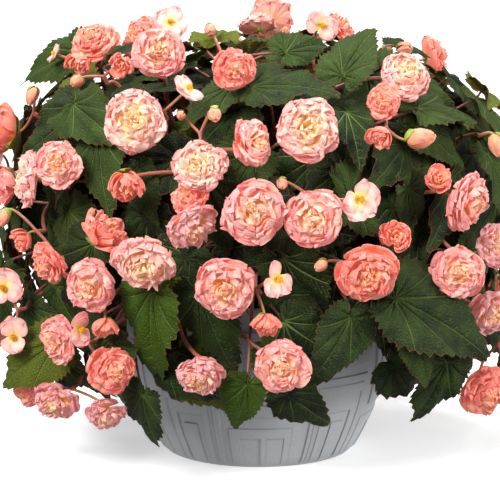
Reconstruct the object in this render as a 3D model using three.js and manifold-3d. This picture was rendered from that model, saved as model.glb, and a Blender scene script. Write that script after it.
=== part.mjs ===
// Potted tuberous begonia in flower: a round planter with a stepped relief, soil, ten leafy stems
// and the sprays of bloom that they carry. Millimetres, +Z up, the pot's foot centred on the origin,
// and the front of the plant towards -Y.
import * as THREE from 'three';
import Module from 'manifold-3d';

const wasm = await Module();
wasm.setup();

const TAU = 2 * Math.PI;
const DEG = Math.PI / 180;
const SEAT_GAP = 0.3;
const SLIVER = 0.2;

// ---- driving dimensions -------------------------------------------------------------------------

// The planter: its side is a parabola about the belly.
const POT = {
  height: 190, bellyRadius: 157, bellyHeight: 138, footRadius: 115,
  wall: 7, floor: 9, sides: 36, relief: 1.5, holeRadius: 7, holeCircle: 72, holeCount: 4,
};
const SOIL = { top: 166, crown: 8, crownRadius: 88 };

// The plant's crown of leaves is a rounded box turned about the vertical: fuller below its middle.
const CROWN = { middle: 270, radius: 300, up: 214, down: 235, upPower: 2.8, downPower: 4 };

// Stems stand in a circle with one in the middle. Above the bend a stem curves out: its path holds
// the points of a cubic curve as distances out from and up over the bend.
const STEM = {
  count: 9, circle: 52, foot: 122, bend: 182, footRadius: 7, tipRadius: 4, sides: 6,
  path: [[0, 0], [0, 60], [50, 100], [110, 150]], middleLean: 0.05, middleRise: 1.4,
};
const LEAF = {
  thickness: 2.4, fold: 0.1, droop: 0.1, bend: 280, start: 4, sink: 3, steps: 26, tilts: [0, 9, -9, 18],
};
const STALK = {
  petiole: 2.1, petioleTip: 1, peduncle: 2.1, pedicel: 1.3, knob: 3.4, length: 10, calyx: 3.8,
};
const CLEAR = {
  leafToLeaf: 7.5, leafToBloom: 3, leafToStalk: 9.5, sample: 12, nearSpray: 120, nearLeaf: 260,
};

// Leaves of the front: azimuth and elevation of the leaf's foot on the crown, the way that its tip
// points (0 down, 90 to the right), length from foot to tip, lift of the tip, roll about the rib
// (all in degrees and mm), and the hand of its broad side.
const FRONT_LEAVES = [
  [18, 10, 80, 108, -6, -13, 1], [-48, 29, 67, 96, -7, -4, -1], [4, -1, 30, 98, -4, 24, 1],
  [-3, 34, 88, 92, 4, 0, 1], [-20, -7, -15, 118, 1, -22, -1], [-13, -7, 15, 104, -9, 12, 1],
  [26, -10, 66, 132, 19, -18, 1], [-48, 7, 58, 88, 0, 4, -1], [22, 36, 142, 84, 28, -15, 1],
  [-62, 31, -150, 84, 20, -10, -1], [41, -22, -6, 88, -8, 17, 1], [37, 27, 89, 102, 4, -25, 1],
  [21, 20, 59, 90, -14, -3, -1], [4, 7, 74, 88, -2, 0, -1], [21, 31, 4, 68, -4, 0, 1],
  [4, -13, 24, 88, 0, 0, 1], [-19, -22, 30, 96, -6, 0, -1], [3, -19, 9, 86, -4, 0, 1],
  [-2, -24, -14, 66, -4, 0, -1], [18, -12, -27, 86, -4, 0, 1], [25, -6, 12, 90, -4, 20, 1],
  [-24, -27, -8, 80, 0, -17, -1], [-7, 40, -48, 78, 0, 0, 1], [-20, 28, 117, 80, 0, 55, 1],
  [-43, 32, 86, 88, -2, 0, 1], [-12, 15, 15, 85, -4, 0, 1], [-39, 24, 22, 94, -4, 0, 1],
  [-27, 17, 20, 62, -6, 0, -1], [-76, 32, 16, 88, -2, 0, 1], [-59, -3, 50, 92, -4, 0, 1],
  [-49, -20, -55, 100, 24, 6, 1], [-62, -14, 60, 76, -6, 0, -1], [-52, -26, 40, 70, -4, 0, 1],
  [-33, -18, -5, 84, -6, 0, 1], [-78, -28, 34, 76, -4, 0, -1], [16, 22, -65, 80, -4, 0, -1],
  [6, 16, 115, 70, -6, 0, 1], [31, 12, 40, 70, -14, 0, 1], [58, 18, -8, 85, -4, 0, 1],
  [38, 25, 54, 80, -8, 0, 1], [67, 29, -26, 80, 0, 0, -1], [84, 31, -79, 88, 4, 0, 1],
  [80, 52, 40, 60, 6, 16, 1], [8, 46, 120, 66, 8, 30, 1], [-20, 58, -160, 80, 10, 0, 1],
  [-12, 66, 120, 92, 8, 45, -1], [-2, 44, 170, 72, 4, 0, 1], [-66, 56, -175, 70, 8, 0, -1],
  [-60, 46, 140, 76, 4, 0, 1], [-26, -10, 110, 56, -4, 20, 1], [7, -14, 4, 66, -10, 3, 1],
  [32, -16, 18, 66, -8, 0, -1], [60, -18, 30, 84, -4, 0, 1], [70, 4, 24, 88, -2, 0, -1],
  [-76, 4, 10, 84, -2, 0, 1],
];

// Sprays of the front: each bloom has its azimuth, elevation and height over the crown, its width,
// the azimuth and elevation that it faces, its kind (double, single, half open cup or bud) and tone.
const FRONT_SPRAYS = [
  [[-80, 46, 22, 56, -20, 45, 'double', 'coral'], [-84, 38, 26, 28, -70, 30, 'single', 'pink'],
    [-60, 38, 14, 28, -20, -50, 'cup', 'coral']],
  [[-40, 38, 12, 28, 10, -10, 'cup', 'coral'], [-51, 33, 12, 20, -20, -20, 'bud', 'coral']],
  [[-76, 64, 22, 44, 5, 20, 'single', 'pink'], [-88, 56, 12, 54, -50, 30, 'double', 'coral']],
  [[-27, 39, 26, 55, 5, 10, 'double', 'pink']],
  [[-25, 23, 27, 64, -5, 10, 'double', 'pale'], [-16, 31, 16, 36, 50, 40, 'single', 'pink']],
  [[-6, 35, 20, 44, 10, -15, 'double', 'coral'], [-22, 56, 18, 21, 0, -10, 'bud', 'coral']],
  [[-75, 20, 20, 54, -80, 10, 'cup', 'coral'], [-64, 28, 18, 22, -30, -60, 'bud', 'coral']],
  [[-11, 16, 22, 52, -5, 20, 'double', 'pale'], [-9, 25, 20, 20, 10, -30, 'bud', 'coral'],
    [-16, 25, 18, 14, 0, 0, 'bud', 'coral']],
  [[-1, 20, 22, 50, 55, 15, 'double', 'pink']],
  [[-40, 15, 30, 49, -5, 5, 'double', 'pink'], [-51, 12, 22, 58, -75, 5, 'double', 'pale'],
    [-65, 10, 16, 44, -60, -10, 'cup', 'pink']],
  [[-25, 12, 22, 38, 0, -40, 'cup', 'coral']],
  [[-12, 5, 20, 52, 25, -35, 'double', 'mauve'], [-13, 11, 12, 42, -30, 30, 'double', 'coral']],
  [[-1, 8, 32, 62, 5, 5, 'double', 'pink']],
  [[-20, -2, 36, 62, -5, -35, 'double', 'pale'], [-30, 4, 14, 46, 60, 40, 'cup', 'coral']],
  [[-44, -4, 20, 47, -45, -25, 'double', 'coral'], [-54, 0, 16, 26, -40, -30, 'cup', 'coral'],
    [-60, 4, 20, 22, -40, -60, 'bud', 'coral']],
  [[36, 61, 20, 38, 15, -5, 'single', 'pink'], [56, 62, 18, 38, 60, 30, 'double', 'coral'],
    [12, 57, 14, 17, 0, 40, 'bud', 'coral']],
  [[36, 33, 24, 52, 15, 30, 'double', 'pale'], [50, 43, 18, 24, 20, 10, 'bud', 'coral']],
  [[26, 27, 24, 35, -10, 5, 'double', 'coral'], [32, 20, 24, 32, 60, 10, 'bud', 'coral'],
    [24, 21, 14, 26, -20, -30, 'cup', 'coral']],
  [[9, 22, 28, 62, 5, 15, 'double', 'pale']],
  [[54, 18, 24, 26, 40, -70, 'bud', 'coral']],
  [[42, 8, 26, 60, 50, -15, 'double', 'pink'], [36, 13, 16, 28, 0, 20, 'cup', 'coral']],
  [[9, 7, 30, 60, -5, 10, 'double', 'pink'], [18, 10, 22, 46, 30, 5, 'single', 'pale'],
    [4, 13, 16, 16, 0, -20, 'bud', 'coral']],
  [[26, 3, 14, 32, 0, 20, 'cup', 'coral']],
  [[39, -5, 26, 56, 5, 0, 'double', 'pink'], [52, -1, 20, 46, 30, 10, 'double', 'mauve']],
  [[-58, -10, 26, 47, -10, 0, 'single', 'pink'], [-55, -19, 26, 43, -10, 0, 'single', 'pink']],
  [[-32, -7, 28, 53, -15, -5, 'double', 'pink'], [-30, -15, 18, 28, 0, -60, 'cup', 'coral']],
  [[-28, -22, 26, 51, 30, 0, 'double', 'coral'], [-41, -18, 26, 51, -50, -5, 'double', 'pink'],
    [-34, -15, 30, 36, 50, -5, 'single', 'pale']],
  [[-46, -30, 24, 50, -15, -30, 'double', 'mauve'], [-33, -31, 20, 44, 5, -40, 'double', 'mauve'],
    [-62, -31, 16, 40, -40, -20, 'cup', 'pink']],
  [[-11, -22, 24, 48, -10, -30, 'double', 'mauve']],
  [[-6, -6, 30, 61, -5, -15, 'double', 'pink'], [3, -4, 30, 40, 45, 0, 'single', 'pale'],
    [1, -13, 20, 30, 10, -60, 'cup', 'coral']],
  [[19, -4, 28, 62, 5, -20, 'double', 'coral'], [11, -2, 16, 17, -40, -20, 'bud', 'coral']],
  [[4, -20, 28, 54, 5, 0, 'double', 'pink']],
  [[50, -14, 24, 52, 20, -20, 'double', 'mauve']],
  [[53, -29, 26, 58, 25, -20, 'double', 'coral'], [64, -22, 20, 40, 40, 0, 'cup', 'pink']],
];

// The back follows the same habit in staggered tiers: elevation, first azimuth, step and count.
const BACK_LEAF_TIERS = [
  [-30, 96, 30, 6], [-8, 102, 30, 6], [16, 96, 33, 6], [38, 104, 38, 5], [62, 130, 60, 3],
];
const BACK_SPRAY_TIERS = [[-22, 98, 42, 5], [8, 112, 38, 5], [36, 118, 60, 3], [70, 170, 60, 1]];
const BACK_PARTNERS = ['single', 'double', 'bud', 'cup'];
const PARTNER_WIDTH = { single: 42, double: 46, bud: 20, cup: 32 };
const TONES = ['pink', 'pale', 'coral', 'mauve'];

// ---- small helpers ------------------------------------------------------------------------------

const vec = (x, y, z) => new THREE.Vector3(x, y, z);
const UP = vec(0, 0, 1);
const along = (point, direction, distance) => point.clone().addScaledVector(direction, distance);

const number2 = (n) => String(n).padStart(2, '0');

// A repeatable draw between 0 and 1 for the item with this number and purpose.
function draw(item, purpose) {
  const wave = Math.sin(item * 12.9898 + purpose * 78.233) * 43758.5453;
  return wave - Math.floor(wave);
}

// A unit vector from an azimuth (0 to the front, 90 to the right) and an elevation.
function direction(azimuth, elevation) {
  const flat = Math.cos(elevation * DEG);
  return vec(
    Math.sin(azimuth * DEG) * flat,
    -Math.cos(azimuth * DEG) * flat,
    Math.sin(elevation * DEG),
  );
}

// The crown at an azimuth and elevation: the point, its outward normal, and the sideways and
// downward tangents.
function crownAt(azimuth, elevation, height = 0) {
  const reach = elevation >= 0 ? CROWN.up : CROWN.down;
  const power = elevation >= 0 ? CROWN.upPower : CROWN.downPower;
  const flat = Math.cos(elevation * DEG);
  const rise = Math.sin(elevation * DEG);
  const length = ((flat / CROWN.radius) ** power + (Math.abs(rise) / reach) ** power) ** (-1 / power);
  const outSlope = (flat * length / CROWN.radius) ** (power - 1) / CROWN.radius;
  const upSlope = Math.sign(rise) * (Math.abs(rise) * length / reach) ** (power - 1) / reach;
  const out = vec(Math.sin(azimuth * DEG), -Math.cos(azimuth * DEG), 0);
  const normal = out.clone().multiplyScalar(outSlope).add(vec(0, 0, upSlope)).normalize();
  const side = vec(Math.cos(azimuth * DEG), Math.sin(azimuth * DEG), 0);
  const down = side.clone().cross(normal);
  const point = out.clone().multiplyScalar(flat * length).add(vec(0, 0, CROWN.middle + rise * length));
  return { point: along(point, normal, height), normal, side, down };
}

// A closed solid from shared corners and outward triangles.
function solid(corners, triangles) {
  return new wasm.Manifold(new wasm.Mesh({
    numProp: 3,
    vertProperties: new Float32Array(corners.flatMap((c) => [c.x, c.y, c.z])),
    triVerts: new Uint32Array(triangles.flat()),
  }));
}

// A tapering stalk with few sides along a curve, closed at both ends by flat caps.
function stalk(curve, firstRadius, lastRadius, segments, sides = 3) {
  const corners = [];
  const triangles = [];
  let across = null;
  for (let s = 0; s <= segments; s += 1) {
    const tangent = curve.getTangent(s / segments);
    const seed = across ?? (Math.abs(tangent.z) > 0.9 ? vec(1, 0, 0) : vec(0, 0, 1));
    across = seed.clone().addScaledVector(tangent, -seed.dot(tangent)).normalize();
    const other = tangent.clone().cross(across);
    const radius = firstRadius + (lastRadius - firstRadius) * s / segments;
    for (let k = 0; k < sides; k += 1) {
      const angle = k / sides * TAU;
      const corner = along(curve.getPoint(s / segments), across, radius * Math.cos(angle));
      corners.push(corner.addScaledVector(other, radius * Math.sin(angle)));
    }
  }
  for (let s = 0; s < segments; s += 1) {
    for (let k = 0; k < sides; k += 1) {
      const a = s * sides + k;
      const b = s * sides + (k + 1) % sides;
      triangles.push([a, b, b + sides], [a, b + sides, a + sides]);
    }
  }
  const last = segments * sides;
  for (let k = 1; k + 1 < sides; k += 1) {
    triangles.push([0, k + 1, k], [last, last + k, last + k + 1]);
  }
  return solid(corners, triangles);
}

// A ring of corners round an axis: petals, and each petal's corners as [share of it, radius, height].
function ring(petals, phase, profile) {
  const corners = [];
  for (let p = 0; p < petals; p += 1) {
    for (const [share, radius, height] of profile) {
      corners.push({ angle: phase + (p + share) / petals * TAU, radius, height });
    }
  }
  return corners;
}

// The closed skin from a three-cornered foot through the rings to an upper pole.
function ringed(low, footRadius, rings, high, place) {
  const corners = [];
  const triangles = [];
  const foot = ring(3, 0, [[0, footRadius, low]]);
  const loops = [foot, ...rings].map((loop) => loop.map(({ angle, radius, height }) => {
    corners.push(place(radius * Math.cos(angle), radius * Math.sin(angle), height));
    return { at: corners.length - 1, angle };
  }));
  corners.push(place(0, 0, high));
  const last = loops[loops.length - 1];
  triangles.push([0, 2, 1]);
  last.forEach((corner, i) => {
    triangles.push([corner.at, last[(i + 1) % last.length].at, corners.length - 1]);
  });
  loops.slice(1).forEach((loop, i) => stitch(triangles, loops[i], loop));
  return solid(corners, triangles);
}

// Triangles between two loops with different numbers of corners, taken in order of their angles.
function stitch(triangles, lower, upper) {
  const step = (loop, i) => ({
    at: loop[i % loop.length].at,
    angle: loop[i % loop.length].angle + (i >= loop.length ? TAU : 0),
  });
  let i = 0;
  let j = 0;
  while (i < lower.length || j < upper.length) {
    const nextLower = i < lower.length ? step(lower, i + 1).angle : Infinity;
    const nextUpper = j < upper.length ? step(upper, j + 1).angle : Infinity;
    if (nextLower <= nextUpper) {
      triangles.push([step(lower, i).at, step(lower, i + 1).at, step(upper, j).at]);
      i += 1;
    } else {
      triangles.push([step(lower, i).at, step(upper, j + 1).at, step(upper, j).at]);
      j += 1;
    }
  }
}

// ---- planter and soil ---------------------------------------------------------------------------

const potRadius = (z) => POT.bellyRadius
  - (POT.bellyRadius - POT.footRadius) * (1 - z / POT.bellyHeight) ** 2;
const cavityRadius = (z) => potRadius(z) - POT.wall;
// The cavity's wall is straight between its three edges.
const CAVITY_MIDDLE = 110;
const CAVITY_EDGES = [POT.floor, CAVITY_MIDDLE, POT.height];
function cavityWall(z) {
  const upper = Math.max(CAVITY_EDGES.findIndex((edge) => edge >= z), 1);
  const [low, high] = CAVITY_EDGES.slice(upper - 1, upper + 1);
  const share = (z - low) / (high - low);
  return cavityRadius(low) * (1 - share) + cavityRadius(high) * share;
}

// The relief repeats round the pot: stepped frames, one in the other, that stand on the foot or on
// a low band. Each frame is [from, to] in shares of a repeat, [from, to] of the height, and level.
const RELIEF_REPEATS = 5;
const RELIEF_FRAMES = [
  { across: [0.08, 0.50], up: [0, 0.56], level: 1 },
  { across: [0.20, 0.38], up: [0, 0.34], level: -1 },
  { across: [0.60, 0.92], up: [0.34, 0.86], level: 1 },
];
const RELIEF_COLUMNS = [0.08, 0.20, 0.38, 0.50, 0.60, 0.92];
const RELIEF_BETWEEN = [0, 0.29, 0.68, 0.76, 0.84];
const RELIEF_START = 0.02;
const RELIEF_ROWS = [0.34, 0.56, 0.86];
const RELIEF_EDGE = 0.006;
const FOOT_ROUND = 3;
const FLOOR_CORNER = 20;
const HOLE_REACH = 20;

function reliefLevel(across, up) {
  return RELIEF_FRAMES
    .filter((f) => across > f.across[0] && across < f.across[1] && up > f.up[0] && up < f.up[1])
    .reduce((sum, f) => sum + f.level, 0);
}

// The planter: relief on a grid whose lines run in close pairs at each step of the pattern.
function makePot() {
  const shares = [
    ...RELIEF_BETWEEN,
    ...RELIEF_COLUMNS.flatMap((share) => [share - RELIEF_EDGE, share + RELIEF_EDGE]),
  ].sort((a, b) => a - b);
  const ups = [RELIEF_START, ...RELIEF_ROWS.flatMap((up) => [up - RELIEF_EDGE, up + RELIEF_EDGE])];
  const side = (z, radius) => ring(RELIEF_REPEATS, 0, shares.map((share) => [share, radius(share), z]));
  const stepped = (up) => side(up * POT.height, (share) => (
    potRadius(up * POT.height) + POT.relief * (reliefLevel(share, up) - 1)));
  const inside = (z) => ring(POT.sides, 0, [[0, cavityRadius(z), z]]);
  const rings = [
    side(0, () => POT.footRadius - FOOT_ROUND),
    ...ups.map(stepped),
    side(POT.height, () => potRadius(POT.height)),
    ...[...CAVITY_EDGES].reverse().map(inside),
  ];
  let pot = ringed(0, FLOOR_CORNER, rings, POT.floor, vec);
  for (let h = 0; h < POT.holeCount; h += 1) {
    const centre = direction((h + 0.5) / POT.holeCount * 360, 0).multiplyScalar(POT.holeCircle);
    const bore = new THREE.LineCurve3(along(centre, UP, -HOLE_REACH), along(centre, UP, HOLE_REACH));
    pot = pot.subtract(stalk(bore, POT.holeRadius, POT.holeRadius, 1, 8));
  }
  return pot;
}

// The soil fills the pot to a low crown, with a plain hole for each stem.
function makeSoil(stems) {
  const rings = [POT.floor + SEAT_GAP, CAVITY_MIDDLE, SOIL.top].map((z) => (
    ring(POT.sides, 0, [[0, cavityWall(z) - SEAT_GAP * 1.1, z]])));
  rings.push(ring(POT.sides / 2, 0, [[0, SOIL.crownRadius, SOIL.top + SOIL.crown]]));
  let soil = ringed(POT.floor + SEAT_GAP, FLOOR_CORNER, rings, SOIL.top + SOIL.crown, vec);
  const bore = STEM.footRadius + SEAT_GAP * 1.2;
  for (const { foot } of stems) {
    const hole = new THREE.LineCurve3(along(foot, UP, -SEAT_GAP), along(foot, UP, SOIL.top));
    soil = soil.subtract(stalk(hole, bore, bore, 1, STEM.sides));
  }
  return soil;
}

// ---- stems --------------------------------------------------------------------------------------

// The stem in the middle and those round it, which lean out as they rise.
function makeStems() {
  const stems = [];
  for (let k = 0; k <= STEM.count; k += 1) {
    const central = k === STEM.count;
    const azimuth = k * 360 / STEM.count;
    const circle = central ? 0 : STEM.circle;
    const [lean, rise] = central ? [STEM.middleLean, STEM.middleRise] : [1, 1];
    const out = direction(azimuth, 0);
    const at = (radius, z) => out.clone().multiplyScalar(circle + radius * lean).setZ(z);
    const foot = at(0, STEM.foot);
    const [bend, second, third, tip] = STEM.path.map(([radius, z], i) => (
      at(radius, STEM.bend + z * (i > 1 ? rise : 1))));
    const curve = new THREE.CubicBezierCurve3(bend, second, third, tip);
    const upright = new THREE.LineCurve3(foot, along(bend, UP, 1));
    const parts = [
      stalk(upright, STEM.footRadius, STEM.footRadius, 1, STEM.sides),
      stalk(curve, STEM.footRadius, STEM.tipRadius, 3, STEM.sides),
    ];
    stems.push({ name: `leafy_stem_${number2(k + 1)}`, azimuth, central, foot, curve, parts });
  }
  return stems;
}

// ---- blooms -------------------------------------------------------------------------------------

// Each kind of bloom: how far its back lies behind its middle, and its skin, in units of its radius.
const BLOOMS = {
  double: {
    back: 0.5,
    top: 0.3,
    rings: [
      ring(5, 0, [[0, 0.8, 0.02], [0.3, 1, -0.06], [0.7, 0.98, 0.06]]),
      ring(5, 0, [[0, 0.6, 0.06]]),
      ring(4, 0.2, [[0, 0.62, 0.22], [0.3, 0.8, 0.2], [0.7, 0.78, 0.26]]),
      ring(4, 0.2, [[0, 0.4, 0.24]]),
      ring(3, -0.1, [[0, 0.42, 0.4], [0.5, 0.54, 0.44]]),
    ],
  },
  single: {
    back: 0.12,
    top: 0.3,
    rings: [
      ring(4, 0, [[0, 0.5, 0.02], [0.28, 0.95, 0.06], [0.5, 1, 0.12], [0.72, 0.95, 0.06]]),
      ring(4, 0, [[0, 0.24, 0.12]]),
    ],
  },
  cup: {
    back: 0.75,
    top: -0.15,
    rings: [
      ring(5, 0, [[0, 0.6, -0.4]]),
      ring(5, 0, [[0, 0.76, 0.12], [0.5, 0.95, 0.42]]),
    ],
  },
  bud: {
    back: 0.95,
    top: 0.95,
    rings: [
      ring(5, 0, [[0, 0.62, -0.45]]),
      ring(5, 0, [[0, 0.56, 0.3]]),
    ],
  },
};

// One bloom of a spray, in place: its middle, facing, radius and back.
function bloomOf([azimuth, elevation, height, across, faceAzimuth, faceElevation, kind], item) {
  const crown = crownAt(azimuth, elevation, height);
  const face = direction(faceAzimuth, faceElevation);
  const radius = across / 2;
  const back = along(crown.point, face, -BLOOMS[kind].back * radius);
  return { ...crown, face, radius, back, kind, spin: draw(item, 1) * TAU };
}

function bloomSolid({ point, face, radius, kind, spin }) {
  const right = vec(0, 0, 1).cross(face).normalize();
  const up = face.clone().cross(right);
  const x = right.clone().multiplyScalar(Math.cos(spin)).addScaledVector(up, Math.sin(spin));
  const y = face.clone().cross(x);
  const place = (a, b, c) => along(along(along(point, x, a * radius), y, b * radius), face, c * radius);
  const { back, rings, top } = BLOOMS[kind];
  return ringed(-back, STALK.calyx / radius, rings, top, place);
}

// A spray: its blooms, the knob where their pedicels meet, and the short stalk under the knob.
function sprayOf(rows, number) {
  const blooms = rows.map((row, i) => bloomOf(row, number * 4 + i));
  const knob = vec(0, 0, 0);
  const outward = vec(0, 0, 0);
  for (const bloom of blooms) {
    knob.addScaledVector(along(along(bloom.back, bloom.face, -3), bloom.normal, -8), 1 / blooms.length);
    outward.add(bloom.normal);
  }
  outward.normalize();
  return { blooms, knob, outward, foot: along(knob, outward, -STALK.length) };
}

// How deep a pedicel stands in its bloom, and how far it runs straight behind the bloom and out of
// the knob before it bends.
const PEDICEL = { depth: 4, behind: 9, out: 8 };

function spraySolid({ blooms, knob, outward, foot }) {
  const parts = blooms.map(bloomSolid);
  for (const { back, face, radius } of blooms) {
    const root = along(back, face, Math.min(PEDICEL.depth, radius / 3));
    if (blooms.length === 1) {
      const curve = new THREE.CubicBezierCurve3(
        foot, along(foot, outward, PEDICEL.out), along(root, face, -PEDICEL.behind), root);
      return [...parts, stalk(curve, STALK.peduncle, STALK.pedicel, 2)];
    }
    const curve = new THREE.QuadraticBezierCurve3(root, along(back, face, -PEDICEL.behind), knob);
    parts.push(stalk(curve, STALK.pedicel, STALK.pedicel, 2));
  }
  const below = new THREE.LineCurve3(foot, along(knob, outward, 1));
  return [...parts, stalk(below, STALK.peduncle, STALK.knob, 1)];
}

// ---- leaves -------------------------------------------------------------------------------------

// The rim of a leaf of unit length, from its notch round the broad side to the tip and back by the
// narrow side: an oblique heart with a toothed edge.
const LEAF_RIM = [
  [-0.04, 0], [-0.16, 0.08], [-0.23, 0.21], [-0.17, 0.34], [0, 0.44], [0.12, 0.4], [0.25, 0.45],
  [0.38, 0.35], [0.54, 0.35], [0.67, 0.21], [0.84, 0.13], [1, 0], [0.8, -0.09], [0.65, -0.22],
  [0.48, -0.23], [0.34, -0.33], [0.12, -0.31], [-0.04, -0.31], [-0.17, -0.2], [-0.14, -0.08],
];
const LEAF_RIB = [[0.06, 0.03], [0.4, 0.06], [0.72, 0.03]];
const LEAF_ROOT = [0.02, 0.0345];
const RIB_OF_EDGE = [0, 0, 0, 0, 0, 1, 1, 1, 2, 2, 2, 2, 2, 1, 1, 0, 0, 0, 0, 0];

// A leaf's frame at a height over the crown, with its tip raised by a tilt.
function leafFrame([azimuth, elevation, heading, length, lift, roll, hand], height, tilt) {
  const crown = crownAt(azimuth, elevation, height);
  const forward = crown.down.clone().multiplyScalar(Math.cos(heading * DEG));
  forward.addScaledVector(crown.side, Math.sin(heading * DEG));
  const across = crown.normal.clone().cross(forward);
  forward.applyAxisAngle(across, -(lift + tilt) * DEG);
  across.applyAxisAngle(forward, roll * hand * DEG);
  const face = forward.clone().cross(across);
  return { foot: crown.point, crown, forward, across, face, length, hand };
}

// A point of the blade: along and across in units of its length, and mm off its middle surface.
function bladePoint({ foot, forward, across, face, length, hand }, a, b, off = 0) {
  const bend = -((a * a + b * b) * length) / (2 * LEAF.bend);
  const shape = bend + LEAF.fold * Math.abs(b) - LEAF.droop * Math.max(a, 0) ** 3;
  const point = along(along(foot, forward, a * length), across, b * length * hand);
  return point.addScaledVector(face, shape * length + off);
}

// A thin lens between the rib and the rim, triangulated alike on both faces: each edge of the rim
// joins one corner of the rib.
function leafSolid(frame) {
  const count = LEAF_RIM.length;
  const rim = LEAF_RIM.map(([a, b]) => bladePoint(frame, a, b));
  const upper = LEAF_RIB.map(([a, b]) => bladePoint(frame, a, b, LEAF.thickness / 2));
  const lower = LEAF_RIB.map(([a, b]) => bladePoint(frame, a, b, -LEAF.thickness / 2));
  const oneFace = [];
  RIB_OF_EDGE.forEach((rib, edge) => {
    const before = RIB_OF_EDGE[(edge + count - 1) % count];
    if (rib !== before) oneFace.push([edge, count + rib, count + before]);
    oneFace.push([edge, (edge + 1) % count, count + rib]);
  });
  const under = (i) => (i >= count ? i + LEAF_RIB.length : i);
  const flip = frame.hand > 0;
  const triangles = oneFace.flatMap(([a, b, c]) => [
    flip ? [a, c, b] : [a, b, c],
    flip ? [under(a), under(b), under(c)] : [under(a), under(c), under(b)],
  ]);
  return solid([...rim, ...upper, ...lower], triangles);
}

// Points spread over a blade, by which it keeps clear of blooms, stalks and the leaves before it.
function inRim(a, b) {
  let inside = false;
  LEAF_RIM.forEach(([a1, b1], i) => {
    const [a2, b2] = LEAF_RIM[(i + 1) % LEAF_RIM.length];
    if ((b1 > b) !== (b2 > b) && a < a1 + (b - b1) / (b2 - b1) * (a2 - a1)) inside = !inside;
  });
  return inside;
}

function bladeSamples(frame) {
  const samples = LEAF_RIM.map(([a, b]) => bladePoint(frame, a, b));
  const step = CLEAR.sample / frame.length;
  for (let a = -0.2; a < 1; a += step) {
    for (let b = -0.36; b < 0.54; b += step) {
      if (inRim(a, b)) samples.push(bladePoint(frame, a, b));
    }
  }
  return samples;
}

function fromSegment(point, start, end) {
  const line = end.clone().sub(start);
  const share = THREE.MathUtils.clamp(point.clone().sub(start).dot(line) / line.lengthSq(), 0, 1);
  return point.distanceTo(along(start, line, share));
}

// The space that a bloom needs is an ellipsoid of this depth in units of its radius.
const BLOOM_DEPTH = { double: 0.55, single: 0.55, cup: 0.9, bud: 0.9 };

function insideBloom(point, { point: middle, face, radius, kind }) {
  const offset = point.clone().sub(middle);
  const axial = offset.dot(face);
  const flat = Math.sqrt(Math.max(offset.lengthSq() - axial * axial, 0));
  const reach = BLOOM_DEPTH[kind] * radius + CLEAR.leafToBloom;
  return Math.hypot(flat / (radius + CLEAR.leafToBloom), axial / reach) < 1;
}

function leafIsClear(samples, sprays, leaves) {
  for (const { blooms, knob, foot } of sprays) {
    for (const sample of samples) {
      if (sample.distanceTo(knob) > CLEAR.nearSpray) break;
      if (fromSegment(sample, foot, knob) < CLEAR.leafToStalk) return false;
      for (const bloom of blooms) {
        if (insideBloom(sample, bloom)) return false;
        if (fromSegment(sample, knob, bloom.back) < CLEAR.leafToStalk) return false;
      }
    }
  }
  for (const other of leaves) {
    if (other.samples[0].distanceTo(samples[0]) > CLEAR.nearLeaf) continue;
    for (const sample of samples) {
      if (other.samples.some((o) => o.distanceTo(sample) < CLEAR.leafToLeaf)) return false;
    }
  }
  return true;
}

// Every leaf starts just over the crown. It tilts a little or sinks in small steps until it is clear.
function settleLeaves(rows, sprays) {
  const leaves = [];
  rows.forEach((row, number) => {
    for (let step = 0; step <= LEAF.steps; step += 1) {
      for (const tilt of LEAF.tilts) {
        const frame = leafFrame(row, LEAF.start - step * LEAF.sink, tilt);
        const samples = bladeSamples(frame);
        if (leafIsClear(samples, sprays, leaves)) {
          leaves.push({ frame, samples, number, step, tilt, row });
          return;
        }
      }
    }
    throw new Error(`leaf ${number} finds no place: ${row}`);
  });
  return leaves;
}

// ---- the back of the plant ----------------------------------------------------------------------

function backLeaves() {
  const rows = [];
  for (const [elevation, first, step, count] of BACK_LEAF_TIERS) {
    for (let i = 0; i < count; i += 1) {
      const item = 100 + rows.length;
      const azimuth = first + step * i + (draw(item, 2) - 0.5) * 8;
      const heading = (draw(item, 3) - 0.5) * 80;
      const length = 92 + draw(item, 4) * 20;
      rows.push([azimuth, elevation + 8, heading, length, draw(item, 5) * 8 - 4, 0, i % 2 ? 1 : -1]);
    }
  }
  return rows;
}

function backSprays() {
  const rows = [];
  for (const [elevation, first, step, count] of BACK_SPRAY_TIERS) {
    for (let i = 0; i < count; i += 1) {
      const item = 200 + rows.length;
      const azimuth = first + step * i;
      const partner = BACK_PARTNERS[rows.length % BACK_PARTNERS.length];
      const tilt = (draw(item, 2) - 0.5) * 40;
      const tone = TONES[rows.length % TONES.length];
      const width = 52 + draw(item, 3) * 12;
      rows.push([
        [azimuth, elevation, 28, width, azimuth + tilt, elevation * 0.4, 'double', tone],
        [azimuth + 11, elevation + 7, 20, PARTNER_WIDTH[partner], azimuth + 30, elevation, partner, tone],
      ]);
    }
  }
  return rows;
}

// ---- routes of the leaf stalks and flower stalks ------------------------------------------------

const AXES = [0, 1, 2];
const boxesMeet = (a, b) => AXES.every((i) => a.min[i] <= b.max[i] && b.min[i] <= a.max[i]);

// What stands already, by node, so that a stalk can bend clear of every node but its own.
class Placed {
  constructor() {
    this.parts = [];
  }

  add(node, part) {
    const entry = { node, part, box: part.boundingBox() };
    this.parts.push(entry);
    return entry;
  }

  meets(piece, node) {
    const box = piece.boundingBox();
    return this.parts
      .filter((p) => p.node !== node && boxesMeet(box, p.box))
      .some((p) => !piece.intersect(p.part).isEmpty());
  }

  of(node) {
    return this.parts.filter((p) => p.node === node).map((p) => p.part);
  }
}

const turnBetween = (a, b) => Math.abs(((a - b) % 360 + 540) % 360 - 180);

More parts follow.
